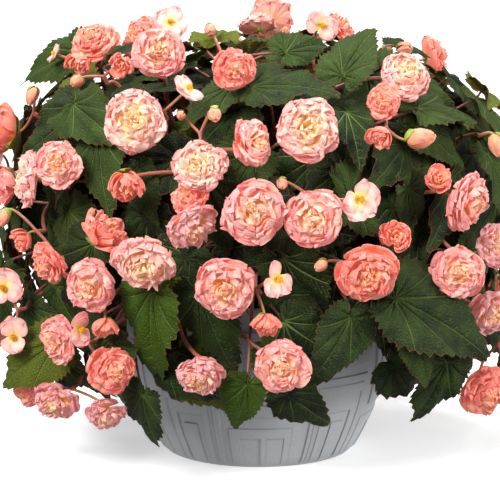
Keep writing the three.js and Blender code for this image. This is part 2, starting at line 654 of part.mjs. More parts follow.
// The stems that a leaf or spray may grow from, the nearest first. The middle stem counts as nearer
// the higher the leaf or spray sits.
const MIDDLE_FAR = 95;
const MIDDLE_NEARER = 1.5;
const MIDDLE_NEAREST = 5;

function nearStems(stems, azimuth, elevation) {
  const middle = Math.max(MIDDLE_FAR - elevation * MIDDLE_NEARER, MIDDLE_NEAREST);
  const far = (stem) => (stem.central ? middle : turnBetween(stem.azimuth, azimuth));
  return [...stems].sort((a, b) => far(a) - far(b)).slice(0, 5);
}

// The family of curves: how far a stalk bows to the side and rises, where along the stem it joins,
// and how much more room than its own thickness it needs.
const BOWS = [0, 18, -18, 36, -36, 60, -60, 85, -85, 110, -110];
const RISES = [0, 25, -20, 50, 80, -45];
const JOINTS = [0, -0.18, 0.18, 0.34, -0.34];
const ROUTE_ROOM = 0.6;

// The first curve of the family that clears every other node, from the nearest stem to the furthest.
function findRoute(stems, placed, [azimuth, elevation], curveFrom, radius, segments, claim) {
  const best = THREE.MathUtils.clamp(0.5 + elevation / 110, 0.15, 0.98);
  for (const stem of nearStems(stems, azimuth, elevation)) {
    claim(stem);
    for (const rise of RISES) {
      for (const bow of BOWS) {
        for (const shift of JOINTS) {
          const share = THREE.MathUtils.clamp(best + shift, 0.05, 0.98);
          const start = stem.curve.getPoint(share);
          const curve = curveFrom(start, stem.curve.getTangent(share), bow, rise);
          const room = stalk(curve, radius + ROUTE_ROOM, radius + ROUTE_ROOM, segments);
          if (!placed.meets(room, stem.name)) return { stem, curve };
        }
      }
    }
  }
  return null;
}

// How far inward and back from a stalk's end its curve's middle lies, how far a flower stalk follows
// its stem, its share of the bow there, and how strongly a stalk arches over the pot's rim.
const PETIOLE = { inward: 40, back: 18, arch: 0.6 };
const PEDUNCLE = { inward: 38, leave: 25, bow: 0.6, arch: 0.5 };

// How far a place lies under the height at which stalks pass over the pot's rim.
const OVER_RIM = 250;
const underRim = (point) => Math.max(0, OVER_RIM - point.z);

// A leaf stalk comes up to the foot of its blade from behind, over the rim of the pot where it must.
function petioleCurve({ frame }, start, bow, rise) {
  const { crown, forward } = frame;
  const end = bladePoint(frame, ...LEAF_ROOT);
  const middle = along(along(end, crown.normal, -PETIOLE.inward), forward, -PETIOLE.back);
  middle.addScaledVector(crown.side, bow).addScaledVector(UP, underRim(end) * PETIOLE.arch + rise);
  return new THREE.QuadraticBezierCurve3(start, middle, end);
}

// A flower stalk ends just short of its spray, square to it.
function peduncleCurve({ foot, outward, blooms }, start, tangent, bow, rise) {
  const end = along(foot, outward, -SEAT_GAP);
  const over = underRim(end) * PEDUNCLE.arch;
  const { side } = blooms[0];
  const near = along(end, outward, -PEDUNCLE.inward).addScaledVector(side, bow);
  near.addScaledVector(UP, over / 2 + rise);
  const leave = along(start, tangent, PEDUNCLE.leave).addScaledVector(side, bow * PEDUNCLE.bow);
  leave.addScaledVector(UP, over);
  return new THREE.CubicBezierCurve3(start, leave, near, end);
}

// ---- the whole plant ----------------------------------------------------------------------------

const COLOURS = {
  pot: ['#aab1b8', 0.55], soil: ['#2c2119', 0.95], leaf: ['#24452f', 0.5],
  coral: ['#ee8377', 0.6], pink: ['#f3a9a4', 0.6], pale: ['#f6cdbb', 0.6], mauve: ['#eaa6ab', 0.6],
};

function part(name, body, colour) {
  const pieces = body.decompose();
  if (pieces.length !== 1) throw new Error(`${name} falls into ${pieces.length} bodies`);
  const mesh = body.getMesh();
  const geometry = new THREE.BufferGeometry();
  geometry.setAttribute('position', new THREE.BufferAttribute(new Float32Array(mesh.vertProperties), 3));
  geometry.setIndex(new THREE.BufferAttribute(new Uint32Array(mesh.triVerts), 1));
  geometry.computeVertexNormals();
  const [shade, roughness] = COLOURS[colour];
  const material = new THREE.MeshStandardMaterial({
    color: shade, roughness, metalness: 0, flatShading: true,
  });
  const object = new THREE.Mesh(geometry, material);
  object.name = name;
  return object;
}

const fuse = (parts) => wasm.Manifold.union(parts).asOriginal().simplify(SLIVER);

function makePlant() {
  const plant = new THREE.Group();
  const placed = new Placed();
  const stems = makeStems();
  placed.add('pot', makePot());
  placed.add('soil', makeSoil(stems));
  stems.forEach((stem) => stem.parts.forEach((p) => placed.add(stem.name, p)));
  const sprays = [...FRONT_SPRAYS, ...backSprays()].map((rows, number) => ({
    name: `spray_${number2(number + 1)}`, tone: rows[0][7], place: rows[0],
    ...sprayOf(rows, number),
  }));
  sprays.forEach((spray) => placed.add(spray.name, fuse(spraySolid(spray))));
  const leaves = settleLeaves([...FRONT_LEAVES, ...backLeaves()], sprays);
  for (const leaf of leaves) {
    leaf.blade = leafSolid(leaf.frame);
    leaf.entry = placed.add(nearStems(stems, leaf.row[0], leaf.row[1])[0].name, leaf.blade);
  }
  for (const leaf of leaves) {
    const curveFrom = (start, tangent, bow, rise) => petioleCurve(leaf, start, bow, rise);
    const claim = (stem) => { leaf.entry.node = stem.name; };
    const route = findRoute(stems, placed, leaf.row, curveFrom, STALK.petiole, 2, claim);
    if (!route) throw new Error(`no leaf stalk for leaf ${leaf.number}: ${leaf.row}`);
    placed.add(route.stem.name, stalk(route.curve, STALK.petiole, STALK.petioleTip, 2));
  }
  for (const spray of sprays) {
    const curveFrom = (start, tangent, bow, rise) => peduncleCurve(spray, start, tangent, bow, rise);
    const route = findRoute(stems, placed, spray.place, curveFrom, STALK.peduncle, 3, () => {});
    if (!route) throw new Error(`no flower stalk for ${spray.name}`);
    placed.add(route.stem.name, stalk(route.curve, STALK.peduncle, STALK.peduncle, 3));
  }
  plant.add(part('pot', placed.of('pot')[0], 'pot'));
  plant.add(part('soil', placed.of('soil')[0], 'soil'));
  stems.forEach((stem) => plant.add(part(stem.name, fuse(placed.of(stem.name)), 'leaf')));
  sprays.forEach((spray) => plant.add(part(spray.name, placed.of(spray.name)[0], spray.tone)));
  return plant;
}

export default makePlant();
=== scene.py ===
import math

import bpy
import numpy as np
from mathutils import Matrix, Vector
from mathutils.kdtree import KDTree


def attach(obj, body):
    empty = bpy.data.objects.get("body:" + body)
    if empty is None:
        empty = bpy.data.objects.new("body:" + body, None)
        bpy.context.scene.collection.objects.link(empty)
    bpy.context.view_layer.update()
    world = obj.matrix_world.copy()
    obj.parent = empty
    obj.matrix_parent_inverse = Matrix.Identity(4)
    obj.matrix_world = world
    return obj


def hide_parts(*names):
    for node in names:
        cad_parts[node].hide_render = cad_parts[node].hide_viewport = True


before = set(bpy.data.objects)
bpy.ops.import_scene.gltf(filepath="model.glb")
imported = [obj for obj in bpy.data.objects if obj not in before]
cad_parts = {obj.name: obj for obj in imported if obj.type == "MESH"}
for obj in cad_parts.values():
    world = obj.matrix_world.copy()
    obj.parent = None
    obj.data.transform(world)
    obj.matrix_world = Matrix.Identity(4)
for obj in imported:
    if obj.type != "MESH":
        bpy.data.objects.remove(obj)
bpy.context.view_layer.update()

# The potted begonia's petals, leaves, stalks, planter and soil as fine surfaces, on the places that
# its construction gives them. Lengths are in millimetres and angles in degrees, as in the
# construction; MM turns them into metres where a mesh is made. The front of the plant faces -Y.
MM = 0.001
TAU = 2 * math.pi
UP = np.array([0.0, 0.0, 1.0])

# ---- driving dimensions ------------------------------------------------------------------------

POT_HEIGHT, BELLY_RADIUS, BELLY_HEIGHT, FOOT_RADIUS = 190, 157, 138, 115
POT_WALL, POT_FLOOR, POT_RELIEF = 7, 9, 1.8
DRAIN_RADIUS, DRAIN_CIRCLE, DRAIN_COUNT = 7, 72, 4
SOIL_TOP, SOIL_CROWN, SOIL_CROWN_RADIUS = 166, 8, 88
CROWN_MIDDLE, CROWN_RADIUS, CROWN_UP, CROWN_DOWN = 270, 300, 214, 235
CROWN_UP_POWER, CROWN_DOWN_POWER = 2.8, 4
STEM_COUNT, STEM_CIRCLE, STEM_FOOT, STEM_BEND = 9, 52, 122, 182
STEM_FOOT_RADIUS, STEM_TIP_RADIUS, CENTRAL_LEAN, CENTRAL_RISE = 7, 4, 0.05, 1.4
LEAF_BEND, LEAF_FOLD, LEAF_DROOP = 280, 0.1, 0.1
LEAF_START, LEAF_SINK, LEAF_STEPS, LEAF_TILTS = 4, 3, 26, (0, 9, -9, 18)
LEAF_TO_LEAF, LEAF_TO_BLOOM, LEAF_TO_STALK, LEAF_SAMPLE = 7.5, 3, 9.5, 12
PETIOLE, PETIOLE_TIP, PEDUNCLE, PEDICEL, KNOB, SPRAY_STALK = 2.1, 1.3, 2.1, 1.3, 3.4, 10

# Leaves of the front: azimuth and elevation of the leaf's foot on the crown, the way that its tip
# points (0 down, 90 to the right), length from foot to tip, lift of the tip, roll about the rib,
# and the hand of its broad side. Most rows began as marks on the photo that a separate program
# carried onto the crown, and fourteen of them as its fit to two marks each.
FRONT_LEAVES = [
    [18, 10, 80, 108, -6, -13, 1], [-48, 29, 67, 96, -7, -4, -1], [4, -1, 30, 98, -4, 24, 1],
    [-3, 34, 88, 92, 4, 0, 1], [-20, -7, -15, 118, 1, -22, -1], [-13, -7, 15, 104, -9, 12, 1],
    [26, -10, 66, 132, 19, -18, 1], [-48, 7, 58, 88, 0, 4, -1], [22, 36, 142, 84, 28, -15, 1],
    [-62, 31, -150, 84, 20, -10, -1], [41, -22, -6, 88, -8, 17, 1], [37, 27, 89, 102, 4, -25, 1],
    [21, 20, 59, 90, -14, -3, -1], [4, 7, 74, 88, -2, 0, -1], [21, 31, 4, 68, -4, 0, 1],
    [4, -13, 24, 88, 0, 0, 1], [-19, -22, 30, 96, -6, 0, -1], [3, -19, 9, 86, -4, 0, 1],
    [-2, -24, -14, 66, -4, 0, -1], [18, -12, -27, 86, -4, 0, 1], [25, -6, 12, 90, -4, 20, 1],
    [-24, -27, -8, 80, 0, -17, -1], [-7, 40, -48, 78, 0, 0, 1], [-20, 28, 117, 80, 0, 55, 1],
    [-43, 32, 86, 88, -2, 0, 1], [-12, 15, 15, 85, -4, 0, 1], [-39, 24, 22, 94, -4, 0, 1],
    [-27, 17, 20, 62, -6, 0, -1], [-76, 32, 16, 88, -2, 0, 1], [-59, -3, 50, 92, -4, 0, 1],
    [-49, -20, -55, 100, 24, 6, 1], [-62, -14, 60, 76, -6, 0, -1], [-52, -26, 40, 70, -4, 0, 1],
    [-33, -18, -5, 84, -6, 0, 1], [-78, -28, 34, 76, -4, 0, -1], [16, 22, -65, 80, -4, 0, -1],
    [6, 16, 115, 70, -6, 0, 1], [31, 12, 40, 70, -14, 0, 1], [58, 18, -8, 85, -4, 0, 1],
    [38, 25, 54, 80, -8, 0, 1], [67, 29, -26, 80, 0, 0, -1], [84, 31, -79, 88, 4, 0, 1],
    [80, 52, 40, 60, 6, 16, 1], [8, 46, 120, 66, 8, 30, 1], [-20, 58, -160, 80, 10, 0, 1],
    [-12, 66, 120, 92, 8, 45, -1], [-2, 44, 170, 72, 4, 0, 1], [-66, 56, -175, 70, 8, 0, -1],
    [-60, 46, 140, 76, 4, 0, 1], [-26, -10, 110, 56, -4, 20, 1], [7, -14, 4, 66, -10, 3, 1],
    [32, -16, 18, 66, -8, 0, -1], [60, -18, 30, 84, -4, 0, 1], [70, 4, 24, 88, -2, 0, -1],
    [-76, 4, 10, 84, -2, 0, 1],
]

# The shade of each front leaf that isn't plain green.
LEAF_SHADES = {
    2: "veined", 14: "veined", 15: "veined", 13: "veined", 35: "veined", 20: "veined",
    5: "dark", 34: "dark", 19: "dark", 25: "dark", 24: "dark", 27: "dark", 37: "dark",
    4: "bright", 9: "olive", 23: "bright", 30: "olive", 32: "bright", 17: "bright",
    16: "olive", 41: "olive", 44: "olive", 46: "olive", 49: "olive", 10: "dark", 18: "bright",
}

# Sprays of the front: each bloom has its azimuth, elevation and height over the crown, its width,
# the azimuth and elevation that it faces, its kind and its tone. Places and widths began as marks
# on the photo that a separate program carried onto the crown; many were changed afterwards.
FRONT_SPRAYS = [
    [[-80, 46, 22, 56, -20, 45, "double", "coral"], [-84, 38, 26, 28, -70, 30, "single", "pink"],
     [-60, 38, 14, 28, -20, -50, "cup", "coral"]],
    [[-40, 38, 12, 28, 10, -10, "cup", "coral"], [-51, 33, 12, 20, -20, -20, "bud", "coral"]],
    [[-76, 64, 22, 44, 5, 20, "single", "pink"], [-88, 56, 12, 54, -50, 30, "double", "coral"]],
    [[-27, 39, 26, 55, 5, 10, "double", "pink"]],
    [[-25, 23, 27, 64, -5, 10, "double", "pale"], [-16, 31, 16, 36, 50, 40, "single", "pink"]],
    [[-6, 35, 20, 44, 10, -15, "double", "coral"], [-22, 56, 18, 21, 0, -10, "bud", "coral"]],
    [[-75, 20, 20, 54, -80, 10, "cup", "coral"], [-64, 28, 18, 22, -30, -60, "bud", "coral"]],
    [[-11, 16, 22, 52, -5, 20, "double", "pale"], [-9, 25, 20, 20, 10, -30, "bud", "coral"],
     [-16, 25, 18, 14, 0, 0, "bud", "coral"]],
    [[-1, 20, 22, 50, 55, 15, "double", "pink"]],
    [[-40, 15, 30, 49, -5, 5, "double", "pink"], [-51, 12, 22, 58, -75, 5, "double", "pale"],
     [-65, 10, 16, 44, -60, -10, "cup", "pink"]],
    [[-25, 12, 22, 38, 0, -40, "cup", "coral"]],
    [[-12, 5, 20, 52, 25, -35, "double", "mauve"], [-13, 11, 12, 42, -30, 30, "double", "coral"]],
    [[-1, 8, 32, 62, 5, 5, "double", "pink"]],
    [[-20, -2, 36, 62, -5, -35, "double", "pale"], [-30, 4, 14, 46, 60, 40, "cup", "coral"]],
    [[-44, -4, 20, 47, -45, -25, "double", "coral"], [-54, 0, 16, 26, -40, -30, "cup", "coral"],
     [-60, 4, 20, 22, -40, -60, "bud", "coral"]],
    [[36, 61, 20, 38, 15, -5, "single", "pink"], [56, 62, 18, 38, 60, 30, "double", "coral"],
     [12, 57, 14, 17, 0, 40, "bud", "coral"]],
    [[36, 33, 24, 52, 15, 30, "double", "pale"], [50, 43, 18, 24, 20, 10, "bud", "coral"]],
    [[26, 27, 24, 35, -10, 5, "double", "coral"], [32, 20, 24, 32, 60, 10, "bud", "coral"],
     [24, 21, 14, 26, -20, -30, "cup", "coral"]],
    [[9, 22, 28, 62, 5, 15, "double", "pale"]],
    [[54, 18, 24, 26, 40, -70, "bud", "coral"]],
    [[42, 8, 26, 60, 50, -15, "double", "pink"], [36, 13, 16, 28, 0, 20, "cup", "coral"]],
    [[9, 7, 30, 60, -5, 10, "double", "pink"], [18, 10, 22, 46, 30, 5, "single", "pale"],
     [4, 13, 16, 16, 0, -20, "bud", "coral"]],
    [[26, 3, 14, 32, 0, 20, "cup", "coral"]],
    [[39, -5, 26, 56, 5, 0, "double", "pink"], [52, -1, 20, 46, 30, 10, "double", "mauve"]],
    [[-58, -10, 26, 47, -10, 0, "single", "pink"], [-55, -19, 26, 43, -10, 0, "single", "pink"]],
    [[-32, -7, 28, 53, -15, -5, "double", "pink"], [-30, -15, 18, 28, 0, -60, "cup", "coral"]],
    [[-28, -22, 26, 51, 30, 0, "double", "coral"], [-41, -18, 26, 51, -50, -5, "double", "pink"],
     [-34, -15, 30, 36, 50, -5, "single", "pale"]],
    [[-46, -30, 24, 50, -15, -30, "double", "mauve"], [-33, -31, 20, 44, 5, -40, "double", "mauve"],
     [-62, -31, 16, 40, -40, -20, "cup", "pink"]],
    [[-11, -22, 24, 48, -10, -30, "double", "mauve"]],
    [[-6, -6, 30, 61, -5, -15, "double", "pink"], [3, -4, 30, 40, 45, 0, "single", "pale"],
     [1, -13, 20, 30, 10, -60, "cup", "coral"]],
    [[19, -4, 28, 62, 5, -20, "double", "coral"], [11, -2, 16, 17, -40, -20, "bud", "coral"]],
    [[4, -20, 28, 54, 5, 0, "double", "pink"]],
    [[50, -14, 24, 52, 20, -20, "double", "mauve"]],
    [[53, -29, 26, 58, 25, -20, "double", "coral"], [64, -22, 20, 40, 40, 0, "cup", "pink"]],
]

# Leaves that close the gaps in the top of the crown, as the front leaves' rows.
CROWN_LEAVES = [
    [90, 84, -90, 98, 0, 0, 1], [200, 82, 20, 92, 0, 0, -1], [330, 80, 140, 90, 0, 0, 1],
    [80, 72, 60, 92, 0, 0, -1], [20, 56, -60, 92, 0, 0, 1], [4, 44, 30, 88, 0, 0, -1],
    [30, 40, -20, 88, 0, 0, 1],
]

# Leaves that close the sides of the crown: columns of azimuth, mirrored left and right, each with
# evenly stepped tiers of elevation. Each leaf is turned about its rib towards the front.
SIDE_COLUMNS, SIDE_TIERS, SIDE_LOWEST, SIDE_STEP, SIDE_STAGGER = (50, 68, 86), 5, -12, 15, 5
SIDE_HEADING, SIDE_LENGTH, SIDE_ROLL = 20, 96, 45

# Leaves spread evenly in layers, over the gaps, at the top, within the crown and deep in it: how
# many, the number of their first draw, lowest and highest elevation, length, spread of headings.
GAP_LEAVES = (60, 500, -24, 70, 84, 120)
TOP_LEAVES = (14, 1300, 56, 88, 84, 160)
INNER_LEAVES = (140, 300, -30, 76, 84, 150)
DEEP_LEAVES = (70, 900, -5, 87, 96, 150)
# The height over the crown that each of these groups starts from, and the steps that it may sink.
GAP_SINK, TOP_SINK, CROWN_SINK, SIDE_SINK = (-4, 9), (4, 14), (-6, 16), (10, 28)
INNER_SINK, DEEP_SINK = (-30, 8), (-80, 8)

# The back follows the same habit in staggered tiers: elevation, first azimuth, step and count.
BACK_LEAF_TIERS = [
    [-30, 96, 30, 6], [-8, 102, 30, 6], [16, 96, 33, 6], [38, 104, 38, 5], [62, 130, 60, 3],
]
BACK_SPRAY_TIERS = [[-22, 98, 42, 5], [8, 112, 38, 5], [36, 118, 60, 3], [70, 170, 60, 1]]
BACK_PARTNERS = ["single", "double", "bud", "cup"]
PARTNER_WIDTH = {"single": 42, "double": 46, "bud": 20, "cup": 32}
TONES = ["pink", "pale", "coral", "mauve"]

# The numbers that seed the random draws, and the golden angle in degrees.
SPRAY_SEED, FOLIAGE_SEED, SOIL_SEED = 700, 41, 5
BACK_LEAF_DRAWS, BACK_SPRAY_DRAWS = 100, 200
GOLDEN_ANGLE = 137.508

# ---- directions and the crown ------------------------------------------------------------------


def draw(item, purpose):
    """A repeatable draw between 0 and 1: the fraction of a large multiple of a sine."""
    wave = math.sin(item * 12.9898 + purpose * 78.233) * 43758.5453
    return wave - math.floor(wave)


def unit(vectors):
    return vectors / np.linalg.norm(vectors, axis=-1, keepdims=True)


def toward(azimuth, elevation):
    """A unit vector from an azimuth (0 to the front, 90 to the right) and an elevation."""
    az, el = math.radians(azimuth), math.radians(elevation)
    return np.array([math.sin(az) * math.cos(el), -math.cos(az) * math.cos(el), math.sin(el)])


def turned(vector, axis, degrees):
    """The vector turned about a unit axis, by Rodrigues' formula."""
    angle = math.radians(degrees)
    return (vector * math.cos(angle) + np.cross(axis, vector) * math.sin(angle)
            + axis * (axis @ vector) * (1 - math.cos(angle)))


def crown_at(azimuth, elevation, height=0.0):
    """The crown is a superellipse turned about the vertical, fuller below its middle. Gives the
    point at a height over it, the outward normal, and the sideways and downward tangents."""
    upper = elevation >= 0
    reach, power = (CROWN_UP, CROWN_UP_POWER) if upper else (CROWN_DOWN, CROWN_DOWN_POWER)
    flat, rise = math.cos(math.radians(elevation)), math.sin(math.radians(elevation))
    length = ((flat / CROWN_RADIUS) ** power + (abs(rise) / reach) ** power) ** (-1 / power)
    out_slope = (flat * length / CROWN_RADIUS) ** (power - 1) / CROWN_RADIUS
    up_slope = math.copysign((abs(rise) * length / reach) ** (power - 1) / reach, rise)
    out, side = toward(azimuth, 0), toward(azimuth + 90, 0)
    normal = unit(out * out_slope + UP * up_slope)
    point = out * flat * length + UP * (CROWN_MIDDLE + rise * length)
    return {"point": point + normal * height, "normal": normal, "side": side,
            "down": np.cross(side, normal)}


# ---- skins: closed surfaces gathered into one mesh ---------------------------------------------


def srgb(red, green, blue):
    """A colour as the eye reads it, 0 to 255, in linear light."""
    share = np.array([red, green, blue]) / 255
    return np.where(share <= 0.04045, share / 12.92, ((share + 0.055) / 1.055) ** 2.4)


def signed_volumes(rings):
    """Six times the volume within each skin: the sum of the triple products of its triangles."""
    centred = rings - rings.mean(axis=(1, 2), keepdims=True)
    ahead = np.roll(centred, -1, axis=2)
    a, b, c, d = centred[:, :-1], ahead[:, :-1], ahead[:, 1:], centred[:, 1:]
    walls = (a * (np.cross(b, c) + np.cross(c, d))).sum(axis=(1, 2, 3))
    first, last = centred[:, 0].mean(axis=1)[:, None], centred[:, -1].mean(axis=1)[:, None]
    ends = (first * np.cross(ahead[:, 0], centred[:, 0])).sum(axis=(1, 2))
    return walls + ends + (last * np.cross(centred[:, -1], ahead[:, -1])).sum(axis=(1, 2))


class Skins:
    """Closed skins for one piece. A skin is a stack of rings with as many points each, closed at
    both ends by a pole in the middle of the ring. Every point also has a tint and a chart, which
    the materials read."""

    def __init__(self):
        self.values, self.quads, self.tris, self.finishes, self.count = [], [], [], [], 0

    def add(self, rings, tint, chart, finish):
        """rings is (skins, rings, points, 3); tint (4 values) and chart (3) broadcast to it."""
        shape = rings.shape[:3]
        values = np.concatenate([
            rings, np.broadcast_to(tint, shape + (4,)), np.broadcast_to(chart, shape + (3,))], axis=3)
        inside_out = (signed_volumes(rings) < 0)[:, None, None, None]
        values = np.where(inside_out, values[:, :, ::-1], values)
        skins, rows, loop = shape
        poles = np.stack([values[:, 0].mean(axis=1), values[:, -1].mean(axis=1)], axis=1)
        flat = np.concatenate([values.reshape(skins, rows * loop, -1), poles], axis=1)
        base = self.count + np.arange(skins)[:, None] * (rows * loop + 2)
        here = np.arange(loop)
        ahead = (here + 1) % loop
        row = np.arange(rows - 1)[:, None] * loop
        quads = np.stack([row + here, row + ahead, row + loop + ahead, row + loop + here], axis=-1)
        top = (rows - 1) * loop
        first = np.stack([np.full(loop, rows * loop), ahead, here], axis=-1)
        last = np.stack([top + here, top + ahead, np.full(loop, rows * loop + 1)], axis=-1)
        self.quads.append((base[..., None] + quads.reshape(1, -1, 4)).reshape(-1, 4))
        self.tris.append((base[..., None] + np.concatenate([first, last])[None]).reshape(-1, 3))
        self.finishes.append((finish, skins * (rows - 1) * loop, skins * 2 * loop))
        self.values.append(flat.reshape(-1, flat.shape[-1]))
        self.count += flat.shape[0] * flat.shape[1]

    def piece(self, name, materials, sharp=50):
        """The mesh object at the origin, in metres, with the points' tints and charts."""
        values = np.concatenate(self.values)
        quads, tris = np.concatenate(self.quads), np.concatenate(self.tris)
        mesh = bpy.data.meshes.new(name)
        mesh.vertices.add(len(values))
        mesh.vertices.foreach_set("co", (values[:, :3] * MM).astype(np.float32).ravel())
        corners = np.concatenate([quads.ravel(), tris.ravel()])
        mesh.loops.add(len(corners))
        mesh.loops.foreach_set("vertex_index", corners.astype(np.int32))
        starts = np.concatenate([np.arange(len(quads)) * 4, len(quads) * 4 + np.arange(len(tris)) * 3])
        mesh.polygons.add(len(starts))
        mesh.polygons.foreach_set("loop_start", starts.astype(np.int32))
        used = sorted({finish for finish, _, _ in self.finishes})
        for finish in used:
            mesh.materials.append(materials[finish])
        slots = [np.full(n, used.index(f)) for f, n, _ in self.finishes]
        slots += [np.full(n, used.index(f)) for f, _, n in self.finishes]
        mesh.polygons.foreach_set("material_index", np.concatenate(slots).astype(np.int32))
        mesh.update(calc_edges=True)
        mesh.shade_smooth()
        mesh.set_sharp_from_angle(angle=math.radians(sharp))
        tint = mesh.attributes.new("tint", "FLOAT_COLOR", "POINT")
        tint.data.foreach_set("color", values[:, 3:7].astype(np.float32).ravel())
        chart = mesh.attributes.new("chart", "FLOAT_VECTOR", "POINT")
        chart.data.foreach_set("vector", values[:, 7:10].astype(np.float32).ravel())
        made = bpy.data.objects.new(name, mesh)
        bpy.context.scene.collection.objects.link(made)
        return made


def opaque(colour):
    """A tint with full vein strength in its fourth value."""
    return np.concatenate([colour, np.ones(colour.shape[:-1] + (1,))], axis=-1)


def bezier(points, count):
    """Points evenly spaced in the parameter of a Bezier curve, as Bernstein sums."""
    t = np.linspace(0, 1, count)[:, None]
    n = len(points) - 1
    return sum(math.comb(n, k) * (1 - t) ** (n - k) * t ** k * np.asarray(p) for k, p in enumerate(points))


def tube(centres, radii, sides=8):
    """Rings round a curve: a circle carried along it square to it, without twist."""
    tangents = unit(np.gradient(centres, axis=0))
    across = np.zeros_like(centres)
    seed = np.array([1.0, 0, 0]) if abs(tangents[0, 2]) > 0.9 else UP
    for k, tangent in enumerate(tangents):
        across[k] = seed = unit(seed - tangent * (seed @ tangent))
    other = np.cross(tangents, across)
    angle = np.arange(sides)[None, :, None] / sides * TAU
    ring = across[:, None] * np.cos(angle) + other[:, None] * np.sin(angle)
    return (centres[:, None] + ring * np.broadcast_to(radii, len(centres))[:, None, None])[None]


# ---- blooms ------------------------------------------------------------------------------------

